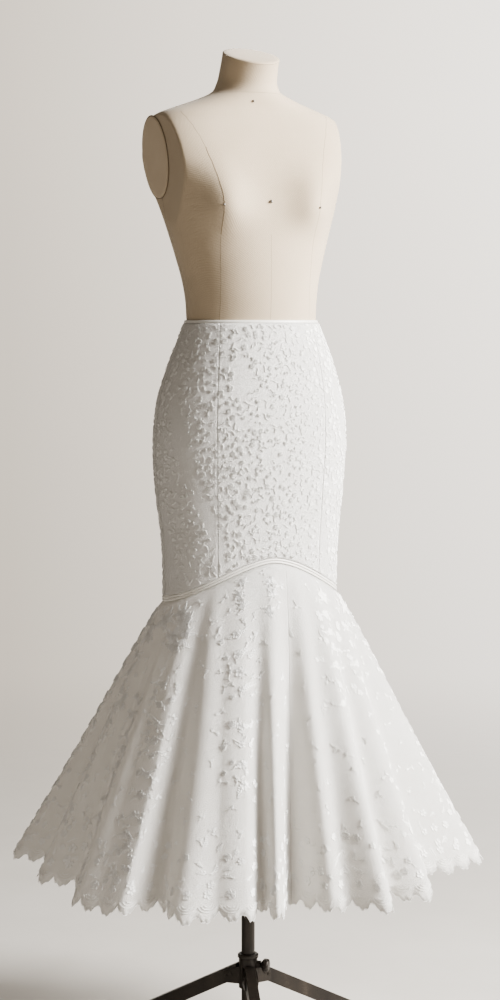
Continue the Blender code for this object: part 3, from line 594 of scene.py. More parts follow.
# Two copies of the motif lace with painted light. The duller one is for the gores on the key light's side.
# The brighter one is denser lace with a painted highlight; it goes on the shaded gores and on the hem's
# edging all round.
MOTIF_PAINTED_DULL_ON_LIT_SIDE = corded("flounce_motif_painted_dull_lit_side", (0.80, 0.785, 0.755), (0.875, 0.865, 0.835))
MOTIF_DENSE_AND_PAINTED_BRIGHT = corded("flounce_motif", (0.87, 0.86, 0.84), (0.95, 0.945, 0.93))
sheer(NET_BASE, (0.95, 0.90, 0.83), 0.15)
sheer(MOTIF_PAINTED_DULL_ON_LIT_SIDE, (0.96, 0.93, 0.88), 0.11)
sheer(MOTIF_DENSE_AND_PAINTED_BRIGHT, (0.97, 0.95, 0.91), 0.10)
PIPING = satin("ivory_satin", (0.68, 0.655, 0.61), (0.78, 0.76, 0.72))
BINDING = satin("ivory_binding", (0.66, 0.64, 0.60), (0.76, 0.74, 0.70))
LINEN = linen("cream_linen", (0.43, 0.345, 0.245), (0.53, 0.435, 0.32))
TAN_LINEN = linen("tan_linen", (0.52, 0.42, 0.30), (0.66, 0.55, 0.42))
# Darker linen lines are painted shade. The lighter one stands for the shadow in the cover's seams. The
# darker one is deeper painted shadow along part of the right front seam and round the arm plates.
SEAM_PAINTED_SHADE = linen("linen_seam_painted_shade", (0.29, 0.23, 0.165), (0.37, 0.30, 0.22))
SEAM_SHADE = linen("linen_seam", (0.20, 0.15, 0.10), (0.30, 0.235, 0.16))
METAL = painted_metal("dark_metal", (0.016, 0.013, 0.011), (0.035, 0.028, 0.022), (0.10, 0.08, 0.062))
RUBBER = plain("foot_rubber", (0.012, 0.012, 0.012), (0.03, 0.03, 0.03), 300.0, (0.7, 0.9))
BOARD = plain("base_board", (0.30, 0.20, 0.12), (0.46, 0.33, 0.21), 40.0, (0.5, 0.75))
COIL = plain("zip_coil", (0.72, 0.70, 0.65), (0.84, 0.82, 0.78), 600.0, (0.35, 0.55))
ENAMEL = plain("zip_enamel", (0.68, 0.66, 0.62), (0.80, 0.78, 0.74), 300.0, (0.25, 0.4), 0.4)
PIN = plain("pin_steel", (0.16, 0.15, 0.14), (0.30, 0.28, 0.26), 500.0, (0.3, 0.5), 0.8)


# ---------------------------------------------------------------- mesh helpers
def linked(name, mesh, material, body=""):
    """The object of a mesh, which rides on a body unless it is part of the stage."""
    mesh.materials.clear()
    mesh.materials.append(material)
    made = bpy.data.objects.new(name, mesh)
    bpy.context.scene.collection.objects.link(made)
    if body:
        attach(made, body)
    return made


def mesh_object(name, vertices, faces, material, body):
    """A smooth-shaded piece that rides on a body."""
    mesh = bpy.data.meshes.new(name)
    mesh.from_pydata(np.asarray(vertices).tolist(), [], faces)
    mesh.update()
    mesh.shade_smooth()
    return linked(name, mesh, material, body)


def made_mesh(maker, name):
    """The mesh of a finished bmesh."""
    mesh = bpy.data.meshes.new(name)
    maker.to_mesh(mesh)
    maker.free()
    return mesh


def grid_piece(name, grid, material, slot, node="", closed=False, caps=(), body="form"):
    """A piece from rows of points, which faces out when the rows run down and the columns to the left.

    It may stand for a node, close round each row and have a face over its first or last row.
    """
    rows, columns = grid.shape[:2]
    faces = []
    for row in range(rows - 1):
        for column in range(columns if closed else columns - 1):
            a = row * columns + column
            b = row * columns + (column + 1) % columns
            faces.append((a, a + columns, b + columns, b))
    ends = {"first": tuple(range(columns)), "last": tuple(range((rows - 1) * columns, rows * columns))[::-1]}
    faces += [ends[cap] for cap in caps]
    made = mesh_object(name, grid.reshape(-1, 3), faces, material, body)
    if node:
        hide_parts(node)
    return made


def cord_piece(name, centres, radius, sides, material, slot, **more):
    """A round cord along a line of points, closed at its ends."""
    centres = np.asarray(centres, float)
    along = unit(np.gradient(centres, axis=0))
    side = unit(np.cross(along, np.array([0.0, 0.0, 1.0])))
    up = np.cross(side, along)
    turns = np.linspace(0, 2 * math.pi, sides, endpoint=False)
    rings = [centres + radius * (math.cos(turn) * side + math.sin(turn) * up) for turn in turns]
    grid = np.stack(rings, axis=1)
    return grid_piece(name, grid, material, slot, closed=True, caps=("first", "last"), **more)


def refined(node, body, material, bevel):
    """A copy of a solid with rounded edges, which stands for it."""
    maker = bmesh.new()
    maker.from_mesh(frame["nodes"][node].data)
    bmesh.ops.remove_doubles(maker, verts=maker.verts, dist=1e-5)
    bmesh.ops.dissolve_limit(maker, angle_limit=0.02, verts=maker.verts, edges=maker.edges)
    made = linked(node + "_finish", made_mesh(maker, node + "_finish"), material, body)
    rounder = made.modifiers.new("rounder", "BEVEL")
    rounder.width = bevel
    rounder.segments = 3
    rounder.limit_method = "ANGLE"
    rounder.angle_limit = math.radians(35)
    made.data.shade_smooth()
    made.data.set_sharp_from_angle(angle=math.radians(60))
    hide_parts(node)


# ---------------------------------------------------------------- the cloth and how lace lies on it
def ruler(point, rows):
    """For each row of a cloth, how far round it each angle lies."""
    fine = np.linspace(-BACK_SEAM_DEG - 12, BACK_SEAM_DEG + 12, 2401)
    lengths = []
    for row in rows:
        points = point(fine, np.full_like(fine, row))
        steps = np.linalg.norm(np.diff(points, axis=0), axis=1)
        lengths.append(np.concatenate([[0], np.cumsum(steps)]))
    return fine, np.array(rows), np.array(lengths)


class HipCloth:
    """The close-fitting part, by angle and by depth below the waist."""

    def __init__(self):
        self.fine, self.rows, self.lengths = ruler(skirt_point, np.linspace(0.0, HIP_DEPTH, 27))

    def drop(self, degrees, row, down):
        return row + down

    def surface(self, degrees, row, lift):
        return skirt_point(degrees, row) + (LACE_LIFT + lift)[..., None] * skirt_normal(degrees, row)


class FlounceCloth:
    """The flounce, by angle of the seam above it and by level from the piping down to the hem."""

    def __init__(self):
        self.fine, self.rows, self.lengths = ruler(flounce_point, np.linspace(0.0, 1.0, 31))
        whole, none = np.ones_like(self.fine), np.zeros_like(self.fine)
        self.slant = np.linalg.norm(flounce_point(self.fine, whole) - flounce_point(self.fine, none), axis=1)

    def drop(self, degrees, row, down):
        return row + down / np.interp(degrees, self.fine, self.slant)

    def surface(self, degrees, row, lift):
        return flounce_point(degrees, row) + (LACE_LIFT + lift)[..., None] * flounce_normal(degrees, row)


def step_round(cloth, degrees, row, along):
    """The angles reached by going a distance round the cloth from an angle, at that row."""
    index = int(np.abs(cloth.rows - row).argmin())
    start = np.interp(degrees, cloth.fine, cloth.lengths[index])
    return np.interp(start + along, cloth.lengths[index], cloth.fine)


class Motifs:
    """Collects strokes of cord and filled petals in flat sizes and lays them on a cloth."""

    def __init__(self, cloth):
        self.cloth = cloth
        self.parts = []
        self.faces = []
        self.count = 0

    def place(self, anchor, points, lifts):
        """Adds points (metres right and up of the anchor) and gives back the number of the first one."""
        degrees, row = anchor
        right, up = points.T
        reached = step_round(self.cloth, degrees, row, right)
        self.parts.append(np.stack([reached, self.cloth.drop(degrees, row, -up), lifts], axis=1))
        first = self.count
        self.count += len(points)
        return first

    def stroke(self, anchor, line, width, height, closed=False):
        """A raised cord along a flat line."""
        if closed:
            ahead = np.roll(line, -1, axis=0) - np.roll(line, 1, axis=0)
        else:
            ahead = np.gradient(line, axis=0)
        across = unit(np.stack([-ahead[:, 1], ahead[:, 0]], axis=1)) * width / 2
        points = np.concatenate([line + across, line, line - across])
        lifts = np.concatenate([np.zeros(len(line)), np.full(len(line), height), np.zeros(len(line))])
        first = self.place(anchor, points, lifts)
        size = len(line)
        for step in range(size if closed else size - 1):
            after = (step + 1) % size
            for side in (0, size):
                a, b = first + side + step, first + side + after
                self.faces.append((a, a + size, b + size, b))

    def fill(self, anchor, outline, height):
        """A filled patch, highest in its middle."""
        middle = outline.mean(axis=0, keepdims=True)
        size = len(outline)
        lifts = np.append(np.zeros(size), height)
        first = self.place(anchor, np.concatenate([outline, middle]), lifts)
        for step in range(size):
            self.faces.append((first + step, first + (step + 1) % size, first + size))

    def build(self, name, material, left_edge, right_edge, top, bottom):
        """One joined mesh of what lies between the edges of a panel, cut off at its seams."""
        table = np.concatenate(self.parts)
        degrees, rows, lifts = table[:, 0], table[:, 1], table[:, 2]
        kept = (degrees > left_edge(rows)) & (degrees < right_edge(rows)) & (rows > top(degrees))
        kept &= rows < bottom(degrees)
        faces = [face for face in self.faces if all(kept[index] for index in face)]
        used = np.unique(np.concatenate([np.array(face) for face in faces]))
        renumber = np.full(len(table), -1)
        renumber[used] = np.arange(len(used))
        vertices = self.cloth.surface(degrees[used], rows[used], lifts[used])
        faces = [tuple(int(renumber[index]) for index in face) for face in faces]
        mesh_object(name, vertices, faces, material, "form")


# ---------------------------------------------------------------- the lace's own flowers, leaves and stems
def petal_line(length, width, count=8):
    """A rounded petal that starts and ends at the origin and points up."""
    t = np.linspace(0, 2 * math.pi, count, endpoint=False)
    along = (1 - np.cos(t)) / 2
    return np.stack([width / 2 * np.sin(t) * along**0.35, length * along], axis=1)


def leaf_line(length, width, count=5):
    """A pointed leaf that starts at the origin and points up."""
    t = np.linspace(0, 1, count)
    half = width / 2 * np.sin(math.pi * t) ** 0.9
    right = np.stack([half, length * t], axis=1)
    left = np.stack([-half, length * t], axis=1)[::-1]
    return np.concatenate([right, left[1:-1]])


def ring_line(radius):
    """A small ring round the origin, of six points."""
    t = np.linspace(0, 2 * math.pi, 6, endpoint=False)
    return np.stack([radius * np.cos(t), radius * np.sin(t)], axis=1)


def curl_line(length, bend, count):
    """A stem that leaves the origin upwards and curls to one side."""
    t = np.linspace(0, 1, count)
    angle = bend * t**1.4
    steps = np.stack([np.sin(angle), np.cos(angle)], axis=1) * length / (count - 1)
    return np.concatenate([[[0.0, 0.0]], np.cumsum(steps[1:], axis=0)])


def turned(line, degrees, offset=(0.0, 0.0)):
    """A flat line turned about the origin and then moved."""
    angle = math.radians(degrees)
    turn = np.array([[math.cos(angle), math.sin(angle)], [-math.sin(angle), math.cos(angle)]])
    return line @ turn + np.array(offset)


def flower(lace, anchor, radius, petals, cord, height, filled):
    """An open flower: outlined petals round a ringed middle, filled where the lace is dense."""
    start = between(0, 360)
    for number in range(petals):
        way = start + 360 * number / petals + between(-6, 6)
        reach = radius * between(0.88, 1.08)
        base = turned(np.array([[0.0, radius * 0.20]]), way)[0]
        outline = turned(petal_line(reach * 0.80, reach * 0.82), way, base)
        if filled:
            lace.fill(anchor, outline, height * 0.55)
        lace.stroke(anchor, outline, cord, height, closed=True)
        if not filled:
            inner = turned(petal_line(reach * 0.42, reach * 0.34, 6), way, base)
            lace.stroke(anchor, inner, cord * 0.8, height * 0.7, closed=True)
    lace.stroke(anchor, ring_line(radius * 0.17), cord, height * 1.1, closed=True)


def leaf(lace, anchor, way, length, width, cord, height, filled):
    """An outlined leaf with its middle rib."""
    outline = turned(leaf_line(length, width), way)
    if filled:
        lace.fill(anchor, outline, height * 0.5)
    lace.stroke(anchor, outline, cord, height, closed=True)
    rib = turned(np.stack([np.zeros(4), np.linspace(0, length * 0.85, 4)], axis=1), way)
    lace.stroke(anchor, rib, cord * 0.8, height * 0.8)


def frond(lace, anchor, way, length, cord, height):
    """A curved stem with pairs of small filled leaves, which grow shorter towards its tip."""
    bend = random.choice((-1, 1)) * between(0.3, 1.1)
    count = 7
    stem = turned(curl_line(length, bend, count), way)
    lace.stroke(anchor, stem, cord, height)
    for place in range(1, count):
        along = place / (count - 1)
        heading = way + math.degrees(bend * along**1.4)
        size = length * (0.34 - 0.14 * along) * between(0.85, 1.15)
        for side in (-1, 1):
            if place == count - 1 and side > 0:
                continue
            lean = 0 if place == count - 1 else side * between(42, 62)
            outline = turned(leaf_line(size, size * 0.42, 4), heading + lean, stem[place])
            lace.fill(anchor, outline, height)


def sprig(lace, anchor, size, cord, height, filled):
    """A short curled stem with two leaves and a bud."""
    way = between(0, 360)
    bend = random.choice((-1, 1)) * between(0.6, 1.5)
    stem = turned(curl_line(size, bend, 6), way)
    lace.stroke(anchor, stem, cord, height)
    for share, side in ((2, 1), (4, -1)):
        outline = turned(leaf_line(size * 0.5, size * 0.22, 4), way + side * 55, stem[share])
        if filled:
            lace.fill(anchor, outline, height * 0.5)
        lace.stroke(anchor, outline, cord, height * 0.9, closed=True)
    bud = turned(petal_line(size * 0.36, size * 0.26, 6), way - math.degrees(bend), stem[-1])
    lace.stroke(anchor, bud, cord, height, closed=True)


NEIGHBOURS = [(x, y, z) for x in (-1, 0, 1) for y in (-1, 0, 1) for z in (-1, 0, 1)]


def scattered(cloth, top, bottom, gap, tries):
    """Places all round a cloth that keep their distance from each other, as (angle, row) pairs."""
    degrees = np.array([between(-180, 180) for _ in range(tries)])
    rows = np.array([between(top, bottom) for _ in range(tries)])
    points = cloth.surface(degrees, rows, 0 * rows)
    kept, grid = [], {}
    for number, point in enumerate(points):
        cell = tuple(int(value // gap) for value in point)
        around = [(cell[0] + x, cell[1] + y, cell[2] + z) for x, y, z in NEIGHBOURS]
        near = [other for key in around for other in grid.get(key, ())]
        if near and np.min(np.sum((np.array(near) - point) ** 2, axis=1)) < gap**2:
            continue
        grid.setdefault(cell, []).append(point)
        kept.append((degrees[number], rows[number]))
    return kept


# ---------------------------------------------------------------- the skirt's panels
def constant(value):
    """An edge that lies at one value all along."""
    return lambda at: value + 0 * at


def moved(edge, by):
    """The same edge, moved by a fixed amount."""
    return lambda at: edge(at) + by


def arch_top(degrees):
    """Depth of the edge of the hip panels at the piping."""
    return arch_depth(degrees) - seam_shift(degrees)


def lipped(points, normals):
    """Adds a lip, turned in by the cloth's thickness, round a grid of points."""
    inner = points - CLOTH * normals
    rows = np.concatenate([inner[:1], points, inner[-1:]])
    edges = np.concatenate([inner[:1], inner, inner[-1:]])
    return np.concatenate([edges[:, :1], rows, edges[:, -1:]], axis=1)


def hip_panel(name, left_edge, right_edge, columns, slot):
    """One cut piece of the close-fitting part as a thin curved shell."""
    shares = np.linspace(0, 1, columns + 1)
    deep = ARCH_TOP + ARCH_DROP
    bottoms = arch_top(left_edge(deep) + (right_edge(deep) - left_edge(deep)) * shares)
    levels = np.linspace(0, 1, PANEL_ROWS)[:, None]
    top = BINDING_HEIGHT + SEAM_GAP
    depths = top + (bottoms - top) * levels
    below = np.clip((depths - ZIP_LENGTH) / ZIP_CLOSING, 0, 1)
    gap = np.degrees(ZIP_SLOT_HALF * (1 - below) / smooth(SECTIONS, "half_width", depths))
    left, right = left_edge(depths) + slot[0] * gap, right_edge(depths) - slot[1] * gap
    degrees = left + (right - left) * shares
    grid = lipped(skirt_point(degrees, depths), skirt_normal(degrees, depths))
    grid_piece(name + "_cloth", grid, LACE_BASE, "ivory_lace", name)


def flounce_gore(name, low, high):
    """One cut piece of the flounce as a thin curved shell with its scalloped hem."""
    degrees = hem_degrees(np.arange(0, HEM_LENGTH, HEM_STEP))
    degrees = degrees[(degrees > low + 0.1) & (degrees < high - 0.1)]
    degrees = np.concatenate([[low], degrees, [high]])
    levels = np.linspace(0, 1, GORE_ROWS)[:, None] * hem_level(degrees)
    degrees = degrees + 0 * levels
    grid = lipped(flounce_point(degrees, levels), flounce_normal(degrees, levels))
    grid_piece(name + "_cloth", grid, NET_BASE, "ivory_lace", name)


LEFT_SIDE, RIGHT_SIDE = constant(SIDE_SEAM_DEG), constant(-SIDE_SEAM_DEG)
HIP_SEAMS = (princess_degrees, right_princess_degrees, LEFT_SIDE, RIGHT_SIDE)
# Name, edges, columns of faces, and whether the zip's slot is at either edge.
PANELS = [
    ("skirt_front", right_princess_degrees, princess_degrees, 60, (0, 0)),
    ("skirt_side_left", princess_degrees, LEFT_SIDE, 32, (0, 0)),
    ("skirt_side_right", RIGHT_SIDE, right_princess_degrees, 32, (0, 0)),
    ("skirt_back_left", LEFT_SIDE, constant(BACK_SEAM_DEG), 56, (0, 1)),
    ("skirt_back_right", constant(-BACK_SEAM_DEG), RIGHT_SIDE, 56, (1, 0)),
]
GORES = [
    ("flounce_front_left", FLOUNCE_FRONT_SEAM_DEG, SIDE_SEAM_DEG),
    ("flounce_front_right", -SIDE_SEAM_DEG, FLOUNCE_FRONT_SEAM_DEG),
    ("flounce_back_left", SIDE_SEAM_DEG, BACK_SEAM_DEG),
    ("flounce_back_right", -BACK_SEAM_DEG, -SIDE_SEAM_DEG),
]


# ---------------------------------------------------------------- lace
def patchy(degrees, row):
    """A slow, uneven pattern over the cloth that leaves some places bare, from -1 to 1."""
    across = degrees * 0.16
    down = row * 11.0
    return 0.5 * math.sin(across + 2.1 * math.sin(down)) + 0.5 * math.sin(1.7 * down - 0.6 * across + 0.9)


def build_hip_lace():
    """Fine raised cords all over the close-fitting part, in small flowers, leaves and curls."""
    cloth = HipCloth()
    lace = Motifs(cloth)
    for anchor in scattered(cloth, 0.0, HIP_DEPTH, HIP_GAP, HIP_TRIES):
        flank = math.exp(-(((abs(anchor[0]) - 92) / 24) ** 2))
        if patchy(*anchor) < -0.80 + 0.70 * flank:
            continue
        kind = random.random()
        wide, high = between(0.0013, 0.0018), between(0.0010, 0.0014) * (1 - 0.4 * flank)
        way = random.choice((0, 180)) + between(-48, 48)
        if kind < 0.20:
            flower(lace, anchor, between(0.0040, 0.0056), 5, wide * 0.9, high, False)
        elif kind < 0.48:
            for turn in (-34, 34):
                leaf(lace, anchor, way + turn, between(0.0054, 0.0076), 0.0031, wide * 0.85, high, False)
        elif kind < 0.84:
            bend = random.choice((-1, 1)) * between(0.8, 2.8)
            lace.stroke(anchor, turned(curl_line(between(0.006, 0.012), bend, 6), way), wide, high)
            lace.stroke(anchor, turned(curl_line(between(0.003, 0.007), bend, 4), way + 180), wide, high)
        else:
            sprig(lace, anchor, between(0.0065, 0.0095), wide * 0.85, high, False)
    ends = constant(BINDING_HEIGHT + 0.0015), moved(arch_top, -0.0012)
    for name, left, right, _, _ in PANELS:
        edges = moved(left, HIP_LACE_CLEAR_DEG), moved(right, -HIP_LACE_CLEAR_DEG)
        lace.build(name + "_lace", LACE_CORD, *edges, *ends)


def spray(lace, anchor, size, cord, height):
    """A bouquet: a full flower with small fronds round it."""
    flower(lace, anchor, size * 0.42, 6, cord, height, True)
    for number in range(7):
        way = 51 * number + between(-20, 20)
        if number % 2:
            frond(lace, anchor, way, size * between(0.80, 1.25), cord * 0.8, height * 0.8)
        else:
            leaf(lace, anchor, way, size * between(0.60, 0.90), size * 0.24, cord * 0.8, height, True)


def garland(lace, centre_deg, start, end, relief):
    """A vine down the flounce with flowers, leaves and buds to both sides."""
    slant = float(np.interp(centre_deg, lace.cloth.fine, lace.cloth.slant))
    level = start
    number = 0
    while level < end:
        middle = centre_deg + GARLAND_SWAY_DEG * math.sin(level * 11.0 + centre_deg)
        anchor = (middle, level)
        petals = 6 if number % 2 else 5
        flower(lace, anchor, between(0.0062, 0.0095), petals, 0.0012, 0.0014 * relief, True)
        for side in (-1, 1):
            way = side * between(30, 150)
            frond(lace, anchor, way, between(0.014, 0.026), 0.0011, 0.0012 * relief)
            for _ in range(2):
                far = float(step_round(lace.cloth, middle, level, side * between(0.010, 0.034)))
                spot = (far, level + between(-0.025, 0.025))
                if random.random() < 0.5:
                    flower(lace, spot, between(0.0040, 0.0062), 5, 0.0011, 0.0013 * relief, True)
                else:
                    sprig(lace, spot, between(0.010, 0.016), 0.0012, 0.0013 * relief, True)
        level += GARLAND_STEP / slant * between(0.85, 1.15)
        number += 1


def hem_border(lace):
    """Scalloped fans on the hem and a band of close flowers above them."""
    t = np.linspace(-1.25, 1.25, 9)
    for number in range(SCALLOPS):
        degrees = float(hem_degrees((number + 0.5) * HEM_LENGTH / SCALLOPS))
        for radius in (0.0055, 0.0100, 0.0145):
            fan = np.stack([radius * 1.15 * np.sin(t), -radius * np.cos(t) + 0.004], axis=1)
            lace.stroke((degrees, FAN_LEVEL), fan, 0.0013, 0.0013)
        flower(lace, (degrees, HEM_FLOWER_LEVEL), 0.0080, 5, 0.0012, 0.0012, True)
    for anchor in scattered(lace.cloth, BORDER_LEVEL, 0.925, BORDER_GAP, FLOUNCE_TRIES):
        if random.random() < 0.40:
            flower(lace, anchor, between(0.0055, 0.0085), 5, 0.0012, 0.0012, True)
        else:
            frond(lace, anchor, between(0, 360), between(0.014, 0.022), 0.0011, 0.0010)


# The angle of each vine and the levels between which it runs, and the angle and level of each bouquet.
GARLANDS = [
    (-171, 0.08, 0.80), (-142, 0.03, 0.80), (-114, 0.12, 0.80), (-90, 0.20, 0.80), (-74, 0.34, 0.80),
    (-55, 0.30, 0.90), (-22, 0.18, 0.36), (-20, 0.46, 0.64), (31, 0.12, 0.40), (52, 0.14, 0.80),
    (72, 0.20, 0.80), (93, 0.06, 0.80), (117, 0.15, 0.80), (143, 0.05, 0.80), (167, 0.18, 0.80),
]
SPRAYS = [
    (-58, 0.060), (-53, 0.090), (-60, 0.130), (-51, 0.130), (-56, 0.170), (-20, 0.030), (-22, 0.065),
    (-20, 0.100), (-2, 0.050), (-1, 0.090), (-3, 0.135), (-72, 0.07), (34, 0.06), (62, 0.05), (80, 0.09),
    (104, 0.05), (130, 0.08), (156, 0.06), (178, 0.05), (-158, 0.06), (-128, 0.07), (-101, 0.06),
    (-86, 0.12),
]


def build_flounce_lace():
    """Vines, bouquets, the hem's border and loose sprigs. The vines stand out most on the shaded side."""
    cloth = FlounceCloth()
    lace = Motifs(cloth)
    for degrees, start, end in GARLANDS:
        garland(lace, degrees, start, end, 1.0 if -120 < degrees < 10 else 0.4)
    for anchor in SPRAYS:
        small = 0.55 if -30 < anchor[0] < 10 else 1.0
        spray(lace, anchor, between(0.024, 0.030) * small, 0.0014, 0.0014)
    hem_border(lace)
    for anchor in scattered(cloth, 0.03, BORDER_LEVEL, SPRIG_GAP, FLOUNCE_TRIES):
        sprig(lace, anchor, between(0.011, 0.018), 0.0011, 0.0009, True)
    for name, low, high in GORES:
        # Painted light: the gores on the key light's side get the duller motif copy, and the shaded gores
        # get the brighter one.
        look = MOTIF_PAINTED_DULL_ON_LIT_SIDE if name.endswith("left") else MOTIF_DENSE_AND_PAINTED_BRIGHT
        edges = constant(low + GORE_LACE_CLEAR_DEG), constant(high - GORE_LACE_CLEAR_DEG)
        lace.build(name + "_lace", look, *edges, constant(0.010), moved(hem_level, -0.003))


def build_hem_edge():
    """The corded edge of the hem with its small picot loops and loose thread ends, gore by gore."""
    upright = PICOT_WIDTH * 0.5 * np.array([0, 0, 1.0])
    for name, low, high in GORES:
        start, end = hem_along(low), hem_along(high)
        along = np.arange(start + 0.0006, end - 0.0006, PICOT_LENGTH / 7)
        degrees = hem_degrees(along)
        level = hem_level(degrees) + PICOT_LEVEL * np.abs(np.sin(math.pi * along / PICOT_LENGTH))
        edge, normal = flounce_point(degrees, level), flounce_normal(degrees, level)
        rows = [edge + upright, edge + 0.0006 * normal, edge - upright, edge - 0.0006 * normal]
        grid_piece(name + "_picots", np.stack(rows + rows[:1]), MOTIF_DENSE_AND_PAINTED_BRIGHT, "ivory_lace")
        vertices, faces = [], []
        for place in np.arange(start + EYELASH_PITCH, end - EYELASH_PITCH, EYELASH_PITCH):
            degree = hem_degrees(np.array([place + between(-0.0015, 0.0015)]))
            root = flounce_point(degree, hem_level(degree) - 0.0017)[0]
            side = unit(np.cross(flounce_normal(degree, np.ones(1))[0], [0, 0, 1.0]))
            tip = root + between(0.002, 0.0058) * (np.array([0, 0, -1.0]) + between(-0.5, 0.5) * side)
            first = len(vertices)
            vertices += [root - EYELASH_HALF * side, root + EYELASH_HALF * side]
            vertices += [tip + EYELASH_TIP * side, tip - EYELASH_TIP * side]
            faces.append((first, first + 1, first + 2, first + 3))
        mesh_object(name + "_eyelash", vertices, faces, MOTIF_DENSE_AND_PAINTED_BRIGHT, "form")


def build_seam_tapes():
    """A narrow tape of the same lace behind each seam of the close-fitting part, so no gap shows dark."""
    for number, edge in enumerate(HIP_SEAMS, 1):
        lowest = float(arch_top(edge(np.array(ARCH_TOP)))) - 0.001
        depths = np.linspace(0.006, lowest, 90)[:, None]
        degrees = edge(depths) + np.array([-TAPE_HALF_DEG, 0.0, TAPE_HALF_DEG])
        grid = skirt_point(degrees, depths) - 0.0003 * skirt_normal(degrees, depths)
        grid_piece(f"seam_tape_{number}", grid, LACE_BASE, "ivory_lace")


def build_seam_stitches():
    """Small slanted stitches on both sides of the skirt's seams."""
    lace = Motifs(HipCloth())
    for edge in HIP_SEAMS:
        for number in range(STITCHES):
            depth = STITCH_START + number * STITCH_PITCH
            degrees = float(edge(np.array(depth)))
            for side in (-1, 1):
                line = np.array([[side * 0.0010, 0.0006], [side * 0.0022, 0.0], [side * 0.0032, -0.0008]])
                lace.stroke((degrees, depth), line, 0.0010, 0.0008)
    edges = constant(-181.0), constant(181.0), constant(0.007), moved(arch_top, -0.0015)
    lace.build("seam_stitches", LACE_CORD, *edges)


# ---------------------------------------------------------------- piping, binding and zip
def build_piping():
    """The two cords in the seam above the flounce."""
    degrees = np.linspace(-BACK_SEAM_DEG + 0.1, BACK_SEAM_DEG - 0.1, 720)
    here, out, up = arch_frame(degrees)
    for name, side in (("piping_upper", 1), ("piping_lower", -1)):
        centre = here + side * CORD_SPREAD * up - CORD_INSET * out
        cord_piece(name + "_cord", centre, CORD_RADIUS * 0.86, 10, PIPING, "ivory_piping", node=name)


def build_binding():
    """A strip folded over the top edge of the cloth, a little crowned."""
    degrees = np.linspace(-BACK_SEAM_DEG + 0.1, BACK_SEAM_DEG - 0.1, 360)
    depths = (0.0, 0.0, 0.0003, 0.0012, 0.0025, 0.0038, 0.0047, BINDING_HEIGHT, BINDING_HEIGHT)
    proud = (-CLOTH, -0.0003, 0.0002, 0.0004, 0.0005, 0.0004, 0.0002, -0.0004, -CLOTH)
    degrees, depths = np.meshgrid(degrees, depths)
    grid = skirt_point(degrees, depths) + np.array(proud)[:, None, None] * skirt_normal(degrees, depths)
    grid_piece("waist_binding_band", grid, BINDING, "ivory_piping", "waist_binding")


def build_zip():
    """The coil's teeth on its tape, each a small raised block, and the slider and its pull."""
    low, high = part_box("zip_coil")
    corners = [(across, 0, up) for across, up in ((-7, -4), (7, -4), (7, 4), (-7, 4))]
    corners += [(across, 5, up) for across, up in ((-4, -2), (4, -2), (4, 2), (-4, 2))]
    corners = np.array(corners) * 0.0001
    vertices, faces = [], []
    for number in range(int((high[2] - low[2]) / TOOTH_PITCH)):
        depth = WAIST_Z - high[2] + (number + 0.5) * TOOTH_PITCH
        centre = skirt_point(np.array(BACK_SEAM_DEG), np.array(depth)) + np.array([0, 0.0001, 0])
        for side in (-1, 1):
            first = len(vertices)
            vertices += list(centre + corners + np.array([side * 0.00065, 0, side * TOOTH_PITCH / 4]))
            for quad in ((4, 5, 6, 7), (0, 1, 5, 4), (1, 2, 6, 5), (2, 3, 7, 6), (3, 0, 4, 7)):
                faces.append(tuple(first + corner for corner in quad))
    mesh_object("zip_teeth", vertices, faces, COIL, "form")
    refined("zip_slider", "form", ENAMEL, 0.0008)
    refined("zip_pull", "zip_pull", ENAMEL, 0.0004)


# ---------------------------------------------------------------- the form
def build_cover():
    """The linen cover as a fine skin, with its neck."""
    degrees = np.linspace(-180, 180, COVER_COLUMNS, endpoint=False)
    below, above = np.linspace(-FORM_DEPTH, 0, 24)[:-1], np.linspace(0, NECK_TOP, 96)
    heights = np.concatenate([below, above])[::-1, None]
    grid = torso_point(degrees + 0 * heights, heights + 0 * degrees)
    grid_piece("form_cover", grid, LINEN, "cream_linen", "form_torso", closed=True, caps=["last"])


def build_neck_cap():
    """The linen-covered top of the neck, slightly domed, with a rolled edge."""
    degrees = np.linspace(-180, 180, 96, endpoint=False)
    rim = torso_point(degrees, np.full_like(degrees, NECK_TOP))
    middle = rim.mean(axis=0)
    tilt = math.radians(NECK_TILT_DEG)
    lift = np.array([0.0, -math.sin(tilt), math.cos(tilt)])
    shares = (1.0, 1.006, 1.004, 0.985, 0.95, 0.80, 0.55, 0.25, 0.02)
    rises = (0.0002, 0.0010, 0.0022, 0.0034, 0.0042, 0.0050, 0.0057, 0.0061, 0.0062)
    grid = np.stack([middle + (rim - middle) * share + rise * lift for share, rise in zip(shares, rises)])
    grid_piece("form_neck_cover", grid[::-1], LINEN, "cream_linen", "form_neck_cap", closed=True,
               caps=["first"])


def plate_ring(side, share, out):
    """An oval on the armhole plane, at a share of the plate's size and a distance out from the form."""
    tilt = math.radians(PLATE_TILT_DEG)
    turns = np.linspace(0, 2 * math.pi, 72, endpoint=False)[:: -side]
    wide = PLATE_HALF_WIDTH * share * np.cos(turns)
    tall = PLATE_HALF_HEIGHT * share * np.sin(turns)
    y = PLATE_CENTRE[0] + wide * math.cos(tilt) + tall * math.sin(tilt)
    height = PLATE_CENTRE[1] - wide * math.sin(tilt) + tall * math.cos(tilt)
    x = side * (plate_distance(y, height) + out)
    return np.stack([x, y, WAIST_Z + height], axis=-1)


